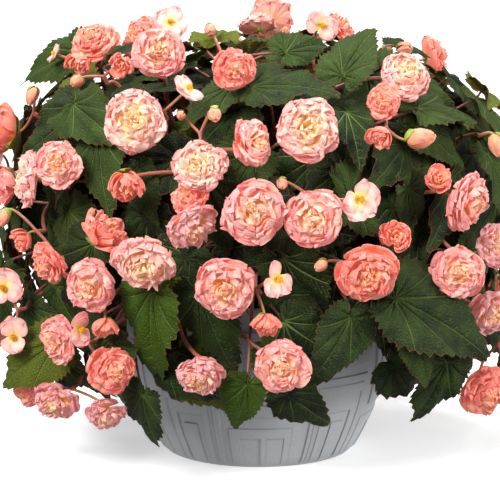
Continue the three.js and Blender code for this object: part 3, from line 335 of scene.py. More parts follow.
# Each layer of a kind of bloom, from the outside in: petals, three control points of the petal's
# profile (radius and height), half width, wrap about the axis, ruffle, and how far in it lies.
# All are in units of the bloom's radius. The profile starts at the kind's foot.
BLOOM_FOOT = {
    "double": (0.05, -0.42), "rosette": (0.05, -0.42), "ruffled": (0.05, -0.42), "frilled": (0.05, -0.42),
    "single": (0.03, -0.06), "cup": (0.06, -0.72), "goblet": (0.06, -0.72), "bud": (0.05, -0.93),
}
BLOOM_LAYERS = {
    "double": [
        (6, (0.42, -0.40), (0.80, -0.30), (1.03, -0.18), 0.58, 0.10, 0.07, 0.00),
        (5, (0.38, -0.32), (0.76, -0.12), (1.00, -0.06), 0.58, 0.10, 0.09, 0.12),
        (6, (0.30, -0.26), (0.64, -0.02), (0.90, 0.03), 0.48, 0.14, 0.11, 0.26),
        (5, (0.24, -0.26), (0.48, 0.05), (0.74, 0.12), 0.44, 0.20, 0.11, 0.42),
        (5, (0.18, -0.24), (0.34, 0.06), (0.60, 0.22), 0.38, 0.30, 0.11, 0.58),
        (3, (0.12, -0.20), (0.18, 0.10), (0.38, 0.32), 0.32, 0.55, 0.10, 0.75),
        (3, (0.07, -0.12), (0.08, 0.14), (0.22, 0.40), 0.24, 0.70, 0.09, 0.90),
        (3, (0.04, -0.04), (0.03, 0.16), (0.10, 0.42), 0.18, 0.80, 0.06, 1.00),
    ],
    "rosette": [
        (5, (0.42, -0.40), (0.80, -0.30), (1.03, -0.16), 0.62, 0.10, 0.06, 0.00),
        (6, (0.36, -0.30), (0.74, -0.08), (0.98, -0.02), 0.50, 0.12, 0.09, 0.12),
        (6, (0.30, -0.22), (0.60, 0.06), (0.82, 0.11), 0.44, 0.20, 0.11, 0.28),
        (6, (0.22, -0.16), (0.42, 0.13), (0.64, 0.22), 0.36, 0.30, 0.12, 0.46),
        (5, (0.16, -0.12), (0.28, 0.18), (0.46, 0.30), 0.31, 0.45, 0.12, 0.66),
        (5, (0.10, -0.06), (0.16, 0.20), (0.30, 0.38), 0.24, 0.55, 0.11, 0.82),
        (3, (0.05, -0.04), (0.05, 0.18), (0.14, 0.42), 0.18, 0.70, 0.08, 1.00),
    ],
    "ruffled": [
        (7, (0.40, -0.38), (0.80, -0.26), (1.03, -0.16), 0.50, 0.10, 0.09, 0.00),
        (7, (0.38, -0.30), (0.76, -0.13), (0.99, -0.07), 0.47, 0.10, 0.11, 0.10),
        (7, (0.34, -0.25), (0.70, -0.04), (0.91, 0.00), 0.43, 0.10, 0.12, 0.24),
        (7, (0.29, -0.21), (0.60, 0.03), (0.80, 0.07), 0.38, 0.14, 0.12, 0.38),
        (6, (0.24, -0.18), (0.48, 0.07), (0.66, 0.14), 0.34, 0.20, 0.12, 0.54),
        (5, (0.17, -0.14), (0.34, 0.11), (0.50, 0.21), 0.30, 0.30, 0.11, 0.70),
        (4, (0.10, -0.10), (0.20, 0.14), (0.34, 0.27), 0.24, 0.45, 0.09, 0.86),
        (3, (0.05, -0.06), (0.07, 0.14), (0.16, 0.32), 0.16, 0.70, 0.06, 1.00),
    ],
    "frilled": [
        (6, (0.40, -0.38), (0.78, -0.24), (1.02, -0.14), 0.50, 0.15, 0.07, 0.00),
        (6, (0.36, -0.28), (0.72, -0.06), (0.98, -0.02), 0.46, 0.20, 0.10, 0.14),
        (7, (0.30, -0.20), (0.60, 0.06), (0.84, 0.10), 0.36, 0.25, 0.12, 0.32),
        (7, (0.24, -0.14), (0.44, 0.16), (0.64, 0.22), 0.30, 0.35, 0.13, 0.52),
        (6, (0.18, -0.10), (0.30, 0.20), (0.46, 0.30), 0.25, 0.45, 0.13, 0.72),
        (6, (0.10, -0.06), (0.16, 0.18), (0.28, 0.36), 0.18, 0.55, 0.12, 0.90),
    ],
    "single": [
        (2, (0.35, -0.04), (0.72, 0.00), (1.00, 0.08), 0.68, 0.12, 0.05, 0.10),
        (3, (0.30, 0.02), (0.60, 0.06), (0.92, 0.14), 0.48, 0.12, 0.05, 0.20),
    ],
    "cup": [
        (3, (0.80, -0.76), (1.04, -0.16), (0.98, 0.30), 0.74, 0.80, 0.06, 0.00),
        (4, (0.60, -0.64), (0.86, -0.08), (0.82, 0.40), 0.58, 0.72, 0.08, 0.25),
        (4, (0.42, -0.54), (0.60, 0.00), (0.60, 0.42), 0.44, 0.70, 0.08, 0.50),
        (4, (0.26, -0.46), (0.34, 0.00), (0.36, 0.38), 0.30, 0.80, 0.06, 0.80),
        (3, (0.12, -0.40), (0.14, 0.00), (0.16, 0.34), 0.20, 0.80, 0.05, 1.00),
    ],
    "goblet": [
        (5, (0.80, -0.70), (1.00, -0.20), (1.04, 0.14), 0.60, 0.55, 0.09, 0.00),
        (5, (0.66, -0.60), (0.86, -0.10), (0.93, 0.30), 0.54, 0.55, 0.11, 0.20),
        (5, (0.50, -0.54), (0.68, 0.00), (0.76, 0.40), 0.46, 0.60, 0.11, 0.40),
        (5, (0.34, -0.48), (0.48, 0.02), (0.54, 0.44), 0.36, 0.60, 0.10, 0.60),
        (4, (0.20, -0.42), (0.28, 0.00), (0.32, 0.42), 0.27, 0.70, 0.08, 0.80),
        (3, (0.08, -0.36), (0.10, 0.00), (0.12, 0.40), 0.18, 0.80, 0.06, 1.00),
    ],
    "bud": [
        (2, (0.84, -0.86), (0.84, 0.50), (0.10, 0.94), 0.84, 0.96, 0.02, 0.00),
        (3, (0.72, -0.80), (0.78, 0.50), (0.16, 0.98), 0.52, 0.92, 0.04, 0.20),
        (3, (0.50, -0.70), (0.56, 0.50), (0.06, 0.92), 0.40, 0.92, 0.04, 0.40),
    ],
}
# How a petal widens: its width at the foot as a share, and where along it is widest.
PETAL_FAN = {"double": (0.2, 0.64), "rosette": (0.2, 0.68), "ruffled": (0.22, 0.7), "frilled": (0.2, 0.74),
             "single": (0.42, 0.52), "cup": (0.4, 0.55), "goblet": (0.3, 0.64), "bud": (0.5, 0.45)}
# How far along a petal the colour of its foot reaches, for each shape and as a factor for each tone.
FOOT_GLOW = {"double": 0.5, "rosette": 0.5, "ruffled": 0.55, "frilled": 0.62, "single": 0.3, "cup": 0.42,
             "goblet": 0.5, "bud": 0.9}
TONE_GLOW = {"coral": 0.75, "pink": 1.0, "pale": 1.25, "mauve": 1.25}
# Painted shade: how much red, green and blue a petal loses towards its foot, where little light falls.
PETAL_PAINTED_SHADE = np.array([0.03, 0.26, 0.34])
# How far from the bloom's axis the glow of its heart reaches, as a share of its radius.
HEART_GLOW = {"coral": 0.55, "pink": 0.74, "pale": 0.95, "mauve": 0.72}
# How far each layer turns against the one outside it, as a share of a turn.
LAYER_TURN = {"double": 0.38, "rosette": 0.38, "ruffled": 0.38, "frilled": 0.38, "single": 0.25,
              "cup": 0.38, "goblet": 0.38, "bud": 0.25}
# A cup with a larger radius than this opens as a goblet. A double bloom's shape follows its tone.
WIDE_CUP = 19
SHAPE_OF_TONE = {"coral": "rosette", "pink": "double", "pale": "ruffled", "mauve": "frilled"}
# The green cap of bracts that holds a bud or cup from behind, in the same terms.
CAP_FOOT = {"bud": (0.04, -0.98), "cup": (0.04, -0.80), "double": (0.03, -0.50), "single": (0.02, -0.12)}
CAP_LAYERS = {
    "bud": [(2, (0.55, -1.04), (0.80, -0.66), (0.72, -0.16), 0.52, 0.95, 0.00, 0.0)],
    "cup": [(2, (0.50, -0.92), (0.72, -0.70), (0.80, -0.36), 0.40, 0.85, 0.02, 0.0)],
    "double": [(2, (0.14, -0.56), (0.26, -0.50), (0.34, -0.40), 0.16, 0.60, 0.02, 0.0)],
    "single": [(2, (0.08, -0.16), (0.14, -0.15), (0.20, -0.12), 0.10, 0.30, 0.00, 0.0)],
}
# How far the bloom's back lies behind its middle, as a share of its radius.
BACK_OF = {"double": 0.5, "single": 0.12, "cup": 0.75, "bud": 0.95}

# A petal's rows from its foot to its tip, and the points across its front and then its back.
PETAL_ROWS = np.array([0.04, 0.24, 0.44, 0.62, 0.77, 0.89, 0.965, 0.998])
PETAL_ACROSS = np.array([-1, -0.86, -0.64, -0.39, -0.13, 0.13, 0.39, 0.64, 0.86,
                         1, 0.86, 0.64, 0.39, 0.13, -0.13, -0.39, -0.64, -0.86])
PETAL_SIDE = np.array([0] + [1] * 8 + [0] + [-1] * 8)
PETAL_HALF_THICKNESS = 0.28
PETAL_TWIST, PETAL_SCALLOP, HEART_OFFSET = 0.12, 0.1, 0.14

# Petal colours: at the foot, over the body, at the rim and on the back.
PETAL_COLOURS = {
    "coral": [srgb(255, 186, 96), srgb(252, 172, 146), srgb(246, 128, 114), srgb(244, 112, 98)],
    "pink": [srgb(255, 202, 88), srgb(253, 192, 172), srgb(246, 146, 142), srgb(242, 124, 118)],
    "pale": [srgb(255, 216, 104), srgb(252, 212, 190), srgb(245, 160, 152), srgb(241, 140, 134)],
    "mauve": [srgb(255, 216, 104), srgb(246, 190, 174), srgb(234, 146, 148), srgb(232, 126, 128)],
    "single": [srgb(255, 210, 84), srgb(249, 196, 182), srgb(240, 136, 136), srgb(235, 126, 124)],
    "bud": [srgb(176, 178, 74), srgb(240, 158, 124), srgb(230, 108, 98), srgb(234, 136, 108)],
}
CAP_COLOURS = [srgb(160, 176, 70), srgb(140, 164, 60), srgb(190, 150, 80), srgb(122, 150, 48)]


def smooth_step(value, low, high):
    share = np.clip((value - low) / (high - low), 0, 1)
    return share * share * (3 - 2 * share)


def bloom_of(row, item):
    azimuth, elevation, height, across, face_azimuth, face_elevation, kind, tone = row
    bloom = crown_at(azimuth, elevation, height)
    face = toward(face_azimuth, face_elevation)
    radius = across / 2
    right = unit(np.cross(UP, face))
    spin = draw(item, 1) * TAU
    x = right * math.cos(spin) + np.cross(face, right) * math.sin(spin)
    bloom.update(face=face, radius=radius, kind=kind, tone=tone, item=item, x=x, y=np.cross(face, x),
                 back=bloom["point"] - face * BACK_OF[kind] * radius)
    return bloom


def spray_of(rows, number):
    """A spray: its blooms, the knob where their pedicels meet, and the stalk's foot under it."""
    blooms = [bloom_of(row, number * 4 + i) for i, row in enumerate(rows)]
    knob = np.mean([b["back"] - b["face"] * 3 - b["normal"] * 8 for b in blooms], axis=0)
    outward = unit(np.sum([b["normal"] for b in blooms], axis=0))
    return {"blooms": blooms, "knob": knob, "outward": outward, "number": number,
            "foot": knob - outward * SPRAY_STALK, "place": rows[0][:2]}


def petal_rings(bloom, layers, foot, shape, rng, jitter=1.0):
    """Every petal of a bloom. Its midline is a cubic curve in the plane through the bloom's axis,
    its width a rounded fan, bent about the axis by its wrap and twisted so that it overlaps its
    neighbour. A ruffle and a scallop, sums of sines across the petal, grow towards the tip. Gives
    the rings, the shares along, the distance from the axis and each petal's depth in the bloom."""
    counts = [layer[0] for layer in layers]
    plan = np.repeat(np.array([[*l[1], *l[2], *l[3], *l[4:]] for l in layers]), counts, axis=0)
    total = len(plan)
    order = np.concatenate([np.arange(n) / n + LAYER_TURN[shape] * i for i, n in enumerate(counts)])
    spread = np.repeat(1 / np.array(counts), counts)
    angle = (order + (rng.random(total) - 0.5) * 0.6 * spread * jitter) * TAU
    controls = plan[:, :6].reshape(total, 3, 2)
    controls[:, 1:, 0] *= 1 + (rng.random((total, 1)) - 0.6) * 0.2 * jitter
    controls[:, 2, 1] += (rng.random(total) - 0.5) * 0.2 * jitter
    half_width, wrap, ruffle, depth = plan[:, 6:].T
    across_rows, rows = PETAL_ACROSS[None, None], PETAL_ROWS[None, :, None]
    phase = rng.random((total, 1, 1))
    waves = (np.sin(TAU * (0.6 * across_rows + phase)) + 0.6 * np.sin(TAU * (1.2 * across_rows + 3 * phase))
             + 0.8 * rows ** 3 * np.sin(TAU * (1.9 * across_rows + 7 * phase)))
    scallop = PETAL_SCALLOP * (np.sin(TAU * (1.1 * across_rows + 5 * phase)) - 0.6)
    u = (rows * (1 + jitter * scallop * rows ** 3))[..., None]
    start = np.broadcast_to(np.array(foot), (total, 2))[:, None, None]
    p1, p2, p3 = (controls[:, k][:, None, None] for k in range(3))
    line = (1 - u) ** 3 * start + 3 * u * (1 - u) ** 2 * p1 + 3 * u ** 2 * (1 - u) * p2 + u ** 3 * p3
    slope = unit(3 * (1 - u) ** 2 * (p1 - start) + 6 * u * (1 - u) * (p2 - p1) + 3 * u ** 2 * (p3 - p2))
    base, widest = PETAL_FAN[shape]
    fan = base + (1 - base) * smooth_step(rows, 0, widest)
    rounding = np.sqrt(1 - np.clip((rows - widest) / (1 - widest), 0, 1) ** 2)
    width = (half_width * (1 + (rng.random(total) - 0.5) * 0.2 * jitter))[:, None, None] * fan * rounding
    across = width * across_rows
    curve_radius = np.maximum(line[..., 0], 0.1) / wrap[:, None, None]
    bend = np.clip(across / curve_radius, -2.6, 2.6)
    twist = (PETAL_TWIST * jitter * (0.6 + 0.8 * rng.random(total)))[:, None, None]
    lift = ruffle[:, None, None] * rows ** 2 * waves + twist * across * rows
    lift = lift + PETAL_SIDE * PETAL_HALF_THICKNESS / bloom["radius"]
    radial = line[..., 0] - curve_radius * (1 - np.cos(bend)) - slope[..., 1] * lift
    tangent = curve_radius * np.sin(bend)
    height = line[..., 1] + slope[..., 0] * lift
    cos, sin = np.cos(angle)[:, None, None, None], np.sin(angle)[:, None, None, None]
    e_r = cos * bloom["x"] + sin * bloom["y"]
    e_t = cos * bloom["y"] - sin * bloom["x"]
    offset = (rng.random(2) - 0.5) * 2 * HEART_OFFSET * jitter
    aside = offset[0] * bloom["x"] + offset[1] * bloom["y"]
    centre = (depth ** 2)[:, None, None, None] * aside * rows[..., None]
    rings = bloom["point"] + bloom["radius"] * (
        centre + radial[..., None] * e_r + tangent[..., None] * e_t + height[..., None] * bloom["face"])
    return rings, np.broadcast_to(rows, rings.shape[:3]), np.hypot(radial, tangent), depth[:, None, None]


def petal_tint(colours, along, reach, depth, glow, heart, rng):
    """Foot colour that fades into the body and the body into the rim. Near the bloom's axis the body
    is paler and takes some of the foot's colour; towards the foot the body is darkened by painted
    shade, most in the outer layers; the back is deeper."""
    foot, body, rim, back = colours
    across = np.abs(PETAL_ACROSS)[None, None]
    petal = rng.random((along.shape[0], 1, 1))
    near_rim = smooth_step(np.maximum(along, 0.4 + 0.56 * across * (along > 0.3)), 0.6, 0.98)
    near_axis = (1 - smooth_step(reach, 0.1, heart))[..., None]
    near_rim = np.clip(near_rim * (0.6 + 0.5 * petal), 0, 1)[..., None] * (1 - 0.55 * near_axis)
    near_foot = (1 - smooth_step(along, 0.1, glow * (1 + 0.5 * depth * petal)))[..., None]
    cream = body + (foot - body) * 0.6
    tint = body + (cream * 1.1 - body) * near_axis * (0.6 + 0.6 * petal[..., None])
    # Painted shade towards the foot, where the next layer covers the petal.
    tint = tint * (1 - PETAL_PAINTED_SHADE * ((1 - smooth_step(along, 0.3, 0.85)) * (1 - 0.6 * depth))[..., None])
    tint = tint + (rim - tint) * near_rim
    tint = tint + (foot - tint) * near_foot * 0.92
    outer = (1 - smooth_step(depth, 0.0, 0.1)) * 0.6
    behind = np.maximum((PETAL_SIDE[None, None] < 0) * (0.75 - 0.35 * depth), outer * (glow > 0.3))
    tint = tint + (back - tint) * behind[..., None]
    return opaque(np.clip(tint * (0.95 + 0.1 * petal[..., None]), 0, 1))


def petal_chart(along, rng):
    """The share along the petal, the share across it and a number of its own, for the streaks."""
    across = np.broadcast_to(PETAL_ACROSS, along.shape)
    own = np.broadcast_to(rng.random((along.shape[0], 1, 1)), along.shape)
    return np.stack([along, across, own], axis=-1)


def add_petals(skins, bloom, layers, foot, shape, colours, finish, rng, jitter=1.0):
    rings, along, reach, depth = petal_rings(bloom, layers, foot, shape, rng, jitter)
    glow = FOOT_GLOW[shape] * TONE_GLOW[bloom["tone"]]
    heart = HEART_GLOW[bloom["tone"]] * (0.4 if shape == "single" else 1)
    tint = petal_tint(colours, along, reach, depth, glow, heart, rng)
    skins.add(rings, tint, petal_chart(along, rng), finish)


STAMEN_COUNT = 26
STAMEN_RADII = [0.3, 0.28, 0.75, 0.5]
# The golden angle again, in radians.
STAMEN_TURN = 2.39996


def add_stamens(skins, bloom, rng):
    """A head of stamens: thin tubes from the bloom's middle to points spread over a dome."""
    start = bloom["point"] - bloom["face"] * bloom["radius"] * 0.04
    turn = np.arange(STAMEN_COUNT) * STAMEN_TURN
    reach = np.sqrt((np.arange(STAMEN_COUNT) + 0.5) / STAMEN_COUNT)
    for angle, share in zip(turn, reach):
        out = (bloom["x"] * math.cos(angle) + bloom["y"] * math.sin(angle)) * share
        tip = start + bloom["radius"] * (out * 0.2 + bloom["face"] * (0.36 - 0.16 * share ** 2))
        tip = tip + (rng.random(3) - 0.5) * 0.8
        line = bezier([start + out, start + bloom["face"] * 3 + out * 2, tip], len(STAMEN_RADII))
        tint = np.append(srgb(246, 178, 20) * (0.7 + 0.3 * rng.random()), 1)
        skins.add(tube(line, STAMEN_RADII, 5), tint, [share, 0, rng.random()], "stamen")


STALK_TINTS = {"petiole": srgb(96, 50, 34), "peduncle": srgb(144, 74, 52), "pedicel": srgb(158, 134, 66),
               "stem": srgb(104, 62, 44)}


def add_stalk(skins, line, radii, first, last=None):
    """A stalk whose tint fades from its first end to its last."""
    share = np.linspace(0, 1, len(line))[None, :, None, None]
    start, end = STALK_TINTS[first], STALK_TINTS[last or first]
    tint = opaque(start + (end - start) * share)
    skins.add(tube(line, radii), tint, np.concatenate([share, share, share], axis=-1), "stalk")


def add_spray_stalks(skins, spray):
    blooms, knob, outward, foot = (spray[k] for k in ("blooms", "knob", "outward", "foot"))
    roots = [b["back"] + b["face"] * min(4, b["radius"] / 3) for b in blooms]
    if len(blooms) == 1:
        line = bezier([foot, foot + outward * 8, roots[0] - blooms[0]["face"] * 9, roots[0]], 10)
        add_stalk(skins, line, np.linspace(PEDUNCLE, PEDICEL, 10), "peduncle", "pedicel")
        return
    for bloom, root in zip(blooms, roots):
        line = bezier([knob, bloom["back"] - bloom["face"] * 9, root], 10)
        add_stalk(skins, line, np.linspace(PEDICEL * 1.3, PEDICEL, 10), "peduncle", "pedicel")
    line = bezier([foot, knob + outward], 4)
    add_stalk(skins, line, [PEDUNCLE, PEDUNCLE * 1.05, KNOB * 0.8, PEDUNCLE], "peduncle")


def make_spray(spray, materials):
    """One spray: its pedicels, the green caps behind its blooms, the petals and the stamens."""
    rng = np.random.default_rng(SPRAY_SEED + spray["number"])
    skins = Skins()
    add_spray_stalks(skins, spray)
    for bloom in spray["blooms"]:
        kind = bloom["kind"]
        shape = SHAPE_OF_TONE[bloom["tone"]] if kind == "double" else kind
        if kind == "cup" and bloom["radius"] > WIDE_CUP:
            shape = "goblet"
        colours = PETAL_COLOURS[kind if kind in ("bud", "single") else bloom["tone"]]
        jitter = 0.2 if kind == "bud" else 1.0
        add_petals(skins, bloom, BLOOM_LAYERS[shape], BLOOM_FOOT[shape], shape, colours, "petal", rng, jitter)
        add_petals(skins, bloom, CAP_LAYERS[kind], CAP_FOOT[kind], "bud", CAP_COLOURS, "bract", rng)
        if kind == "single":
            add_stamens(skins, bloom, rng)
    name = f"spray_{spray['number'] + 1:02d}"
    made = skins.piece(f"blooms_of_{name}", materials)
    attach(made, "root")
    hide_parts(name)
    return made


# ---- leaves ------------------------------------------------------------------------------------

# The rim of a leaf of unit length, from its notch round the broad side to the tip and back by the
# narrow side: an oblique heart.
LEAF_RIM = np.array([
    [-0.04, 0], [-0.16, 0.08], [-0.23, 0.21], [-0.17, 0.34], [0, 0.44], [0.12, 0.4], [0.25, 0.45],
    [0.38, 0.35], [0.54, 0.35], [0.67, 0.21], [0.84, 0.13], [1, 0], [0.8, -0.09], [0.65, -0.22],
    [0.48, -0.23], [0.34, -0.33], [0.12, -0.31], [-0.04, -0.31], [-0.17, -0.2], [-0.14, -0.08]])
LEAF_ROOT = np.array([0.02, 0.0345])
LEAF_TIP, RIM_SOFTENING = 11, 0.2
# The main veins run from the root to these places of the rim.
VEIN_ENDS = np.array([0.9, 2.6, 4.4, 6, 8, 11, 13, 15, 17.2, 19])
FINE_RINGS = np.array([0.1, 0.24, 0.4, 0.56, 0.72, 0.86, 0.95])
COARSE_RINGS = np.array([0.3, 0.65, 0.92])
LEAF_COLUMNS, INNER_COLUMNS = 120, 60
LEAF_HALF_THICKNESS = 0.4
TOOTH, QUILT, RIM_WAVE, VEIN_ARC = 0.042, 0.032, 0.034, 0.1
# Each shade's colour, and how strongly its veins show. The near-black inner shade is painted
# shade for the leaves that fill the crown's interior.
LEAF_TINTS = {
    "green": (srgb(40, 53, 14), 0.35), "dark": (srgb(26, 35, 14), 0.25), "bright": (srgb(50, 70, 2), 0.3),
    "olive": (srgb(86, 90, 14), 0.35), "veined": (srgb(22, 32, 15), 0.9), "inner": (srgb(12, 16, 7), 0.3),
}


def leaf_frame(row, height, tilt):
    azimuth, elevation, heading, length, lift, roll, hand = row
    crown = crown_at(azimuth, elevation, height)
    way = math.radians(heading)
    forward = crown["down"] * math.cos(way) + crown["side"] * math.sin(way)
    across = np.cross(crown["normal"], forward)
    forward = turned(forward, across, -(lift + tilt))
    across = turned(across, forward, roll * hand)
    return {"foot": crown["point"], "crown": crown, "forward": forward, "across": across,
            "face": np.cross(forward, across), "length": length, "hand": hand}


def blade_points(leaf, a, b, off=0.0):
    """The blade bends down as the square of the distance from its foot, folds up along the rib as
    |b| and droops at the tip as the cube of a. a and b are in units of its length."""
    length = leaf["length"]
    shape = -(a * a + b * b) * length / (2 * LEAF_BEND) + LEAF_FOLD * np.abs(b)
    shape = shape - LEAF_DROOP * np.maximum(a, 0) ** 3
    return (leaf["foot"] + leaf["forward"] * (a * length)[..., None]
            + leaf["across"] * (b * length * leaf["hand"])[..., None]
            + leaf["face"] * (shape * length + off)[..., None])


def in_rim(a, b):
    """Which points lie within the rim: an odd number of its edges pass to one side of them."""
    inside = np.zeros(len(a), bool)
    for (a1, b1), (a2, b2) in zip(LEAF_RIM, np.roll(LEAF_RIM, -1, axis=0)):
        if b1 != b2:
            inside ^= ((b1 > b) != (b2 > b)) & (a < a1 + (b - b1) / (b2 - b1) * (a2 - a1))
    return inside


def blade_samples(leaf, spacing=LEAF_SAMPLE):
    step = spacing / leaf["length"]
    a, b = np.meshgrid(np.arange(-0.2, 1, step), np.arange(-0.36, 0.54, step), indexing="ij")
    a, b = a.ravel(), b.ravel()
    kept = in_rim(a, b)
    spread = np.concatenate([LEAF_RIM, np.stack([a[kept], b[kept]], axis=1)])
    return blade_points(leaf, spread[:, 0], spread[:, 1])


def from_segment(points, start, end):
    line = end - start
    share = np.clip((points - start) @ line / (line @ line), 0, 1)
    return np.linalg.norm(points - start - share[:, None] * line, axis=1)


def inside_bloom(points, bloom, clearance=LEAF_TO_BLOOM):
    """Within the flat ellipsoid round a bloom."""
    depth = 0.55 if bloom["kind"] in ("double", "single") else 0.9
    offset = points - bloom["point"]
    axial = offset @ bloom["face"]
    flat = np.sqrt(np.maximum((offset ** 2).sum(axis=1) - axial ** 2, 0))
    radius = bloom["radius"]
    return np.hypot(flat / (radius + clearance), axial / (depth * radius + clearance)) < 1


# How far from a spray's knob a leaf is tested against it, and how near the feet of two leaves are
# when they are tested against each other.
SPRAY_REACH, LEAF_REACH = 120, 260


def leaf_is_clear(samples, sprays, leaves):
    """Clear of the stalks and blooms of the sprays and of the other leaves."""
    for spray in sprays:
        far = np.linalg.norm(samples - spray["knob"], axis=1) > SPRAY_REACH
        near = samples[:int(np.argmax(far))] if far.any() else samples
        if len(near) == 0:
            continue
        if (from_segment(near, spray["foot"], spray["knob"]) < LEAF_TO_STALK).any():
            return False
        for bloom in spray["blooms"]:
            if inside_bloom(near, bloom).any():
                return False
            if (from_segment(near, spray["knob"], bloom["back"]) < LEAF_TO_STALK).any():
                return False
    for other in leaves:
        if np.linalg.norm(other["samples"][0] - samples[0]) <= LEAF_REACH:
            gaps = np.linalg.norm(other["samples"][:, None] - samples[None], axis=2)
            if gaps.min() < LEAF_TO_LEAF:
                return False
    return True


def settle_leaves(rows, sprays, leaves, start, steps, shade):
    """Every leaf starts over the crown, and tilts a little or sinks in small steps until it is
    clear. A leaf that finds no place is left out."""
    for number, row in enumerate(rows):
        for step, tilt in ((s, t) for s in range(steps + 1) for t in LEAF_TILTS):
            leaf = leaf_frame(row, start - step * LEAF_SINK, tilt)
            samples = blade_samples(leaf)
            if leaf_is_clear(samples, sprays, leaves):
                leaf.update(samples=samples, place=row[:2], shade=shade(number), item=len(leaves))
                leaves.append(leaf)
                break
    return leaves


def fine_rim(columns):
    """The rim as a smooth curve through its corners (a Catmull-Rom spline), its lobes softened by a
    running mean away from the tip and the notch, with saw teeth of changing size."""
    place = np.arange(columns) / columns * len(LEAF_RIM)
    corner = place.astype(int)
    t = (place - corner)[:, None]
    p0, p1, p2, p3 = (LEAF_RIM[(corner + k) % len(LEAF_RIM)] for k in (-1, 0, 1, 2))
    rim = 0.5 * (2 * p1 + (p2 - p0) * t + (2 * p0 - 5 * p1 + 4 * p2 - p3) * t ** 2
                 + (3 * p1 - p0 - 3 * p2 + p3) * t ** 3)
    reach = int(columns * RIM_SOFTENING / 2)
    soft = np.mean([np.roll(rim, k, axis=0) for k in range(-reach, reach + 1)], axis=0)
    near_tip = 1 - smooth_step(np.abs(place - LEAF_TIP), 0.8, 2.2)
    near_notch = 1 - smooth_step(np.minimum(place, len(LEAF_RIM) - place), 0.6, 1.6)
    kept = np.maximum(0.12, np.maximum(near_tip, near_notch))[:, None]
    rim = soft + (rim - soft) * kept
    saw = (np.arange(columns) % 3) / 2
    coarse = 0.6 + 0.8 * np.cos(np.arange(columns) * TAU * 7 / columns) ** 2
    return place, rim + unit(rim - LEAF_ROOT) * ((saw - 0.4) * coarse * TOOTH)[:, None]


def leaf_rings(leaf, columns, rings, rng):
    """A leaf as rings from the root over the upper face to the rim and back under the lower face.
    The blade is puffed between the veins and its rim waves."""
    place, rim = fine_rim(columns)
    u = np.interp(place, VEIN_ENDS, np.arange(len(VEIN_ENDS)))
    from_vein = np.abs(u - np.round(u))
    from_vein = np.where(place < VEIN_ENDS[0], np.minimum((VEIN_ENDS[0] - place) * 0.5, 0.5), from_vein)
    from_vein = np.where(place > VEIN_ENDS[-1], np.minimum((place - VEIN_ENDS[-1]) * 0.5, 0.5), from_vein)
    share = np.concatenate([rings, [1.0], rings[::-1]])[:, None]
    side = np.concatenate([np.ones(len(rings)), [0.0], -np.ones(len(rings))])[:, None]
    plan = LEAF_ROOT + share[..., None] * (rim - LEAF_ROOT)[None]
    plan = plan + np.array([1.0, 0.0]) * (VEIN_ARC * share * (1 - share))[..., None]
    length = leaf["length"]
    puff = QUILT * length * np.sin(math.pi * from_vein)[None] * np.sin(math.pi * share ** 0.8) * 0.8
    phase = rng.random(3) * TAU
    angle = place / len(LEAF_RIM) * TAU
    wave = np.sin(5 * angle + phase[0]) + 0.7 * np.sin(9 * angle + phase[1])
    wave = wave * RIM_WAVE * length * share ** 3 * (0.6 + 0.6 * rng.random())
    thickness = side * LEAF_HALF_THICKNESS * np.sqrt(1 - share ** 4)
    points = blade_points(leaf, plan[..., 0], plan[..., 1], puff + wave + thickness)
    chart = np.stack(np.broadcast_arrays(from_vein[None], share, (1 - side) / 2), axis=-1)
    return points[None], chart[None]


def add_leaf(skins, leaf, columns, rings, rng):
    points, chart = leaf_rings(leaf, columns, rings, rng)
    tint, veins = LEAF_TINTS[leaf["shade"]]
    tint = tint * (0.85 + 0.3 * rng.random()) * (1 + (rng.random(3) - 0.5) * 0.12)
    skins.add(points, np.append(tint, veins), chart, "leaf")


# ---- the back, the leaves within the crown and the gaps ----------------------------------------


def back_leaves():
    rows = []
    for elevation, first, step, count in BACK_LEAF_TIERS:
        for i in range(count):
            item = BACK_LEAF_DRAWS + len(rows)
            azimuth = first + step * i + (draw(item, 2) - 0.5) * 8
            heading = (draw(item, 3) - 0.5) * 80
            length = 92 + draw(item, 4) * 20
            hand = 1 if i % 2 else -1
            rows.append([azimuth, elevation + 8, heading, length, draw(item, 5) * 8 - 4, 0, hand])
    return rows


def back_sprays():
    rows = []
    for elevation, first, step, count in BACK_SPRAY_TIERS:
        for i in range(count):
            item = BACK_SPRAY_DRAWS + len(rows)
            azimuth = first + step * i
            partner = BACK_PARTNERS[len(rows) % len(BACK_PARTNERS)]
            tilt = (draw(item, 2) - 0.5) * 40
            tone = TONES[len(rows) % len(TONES)]
            across = 52 + draw(item, 3) * 12
            bloom = [azimuth, elevation, 28, across, azimuth + tilt, elevation * 0.4, "double", tone]
            width = PARTNER_WIDTH[partner]
            beside = [azimuth + 11, elevation + 7, 20, width, azimuth + 30, elevation, partner, tone]
            rows.append([bloom, beside])
    return rows


def spread_leaves(count, item, low, high, length, spread):
    """Leaves spread evenly over the crown between two elevations, by the golden angle."""
    rows = []
    for i in range(count):
        azimuth = i * GOLDEN_ANGLE + draw(item + i, 1) * 12
        rise = math.sin(math.radians(low)) + (i + 0.5) / count * (
            math.sin(math.radians(high)) - math.sin(math.radians(low)))
        heading = (draw(item + i, 2) - 0.5) * spread
        size = length * (0.85 + 0.3 * draw(item + i, 3))
        lift = draw(item + i, 4) * 14 - 7
        rows.append([azimuth, math.degrees(math.asin(rise)), heading, size, lift, 0, 1 if i % 2 else -1])
    return rows


def side_leaves():
    """Tiers of leaves at the left and the right, staggered from one column to the next."""
    return [[side * azimuth, SIDE_LOWEST + tier * SIDE_STEP + column * SIDE_STAGGER,
             side * SIDE_HEADING, SIDE_LENGTH, 0, SIDE_ROLL, side]
            for side in (-1, 1) for column, azimuth in enumerate(SIDE_COLUMNS) for tier in range(SIDE_TIERS)]


# ---- stems and the routes of the stalks --------------------------------------------------------


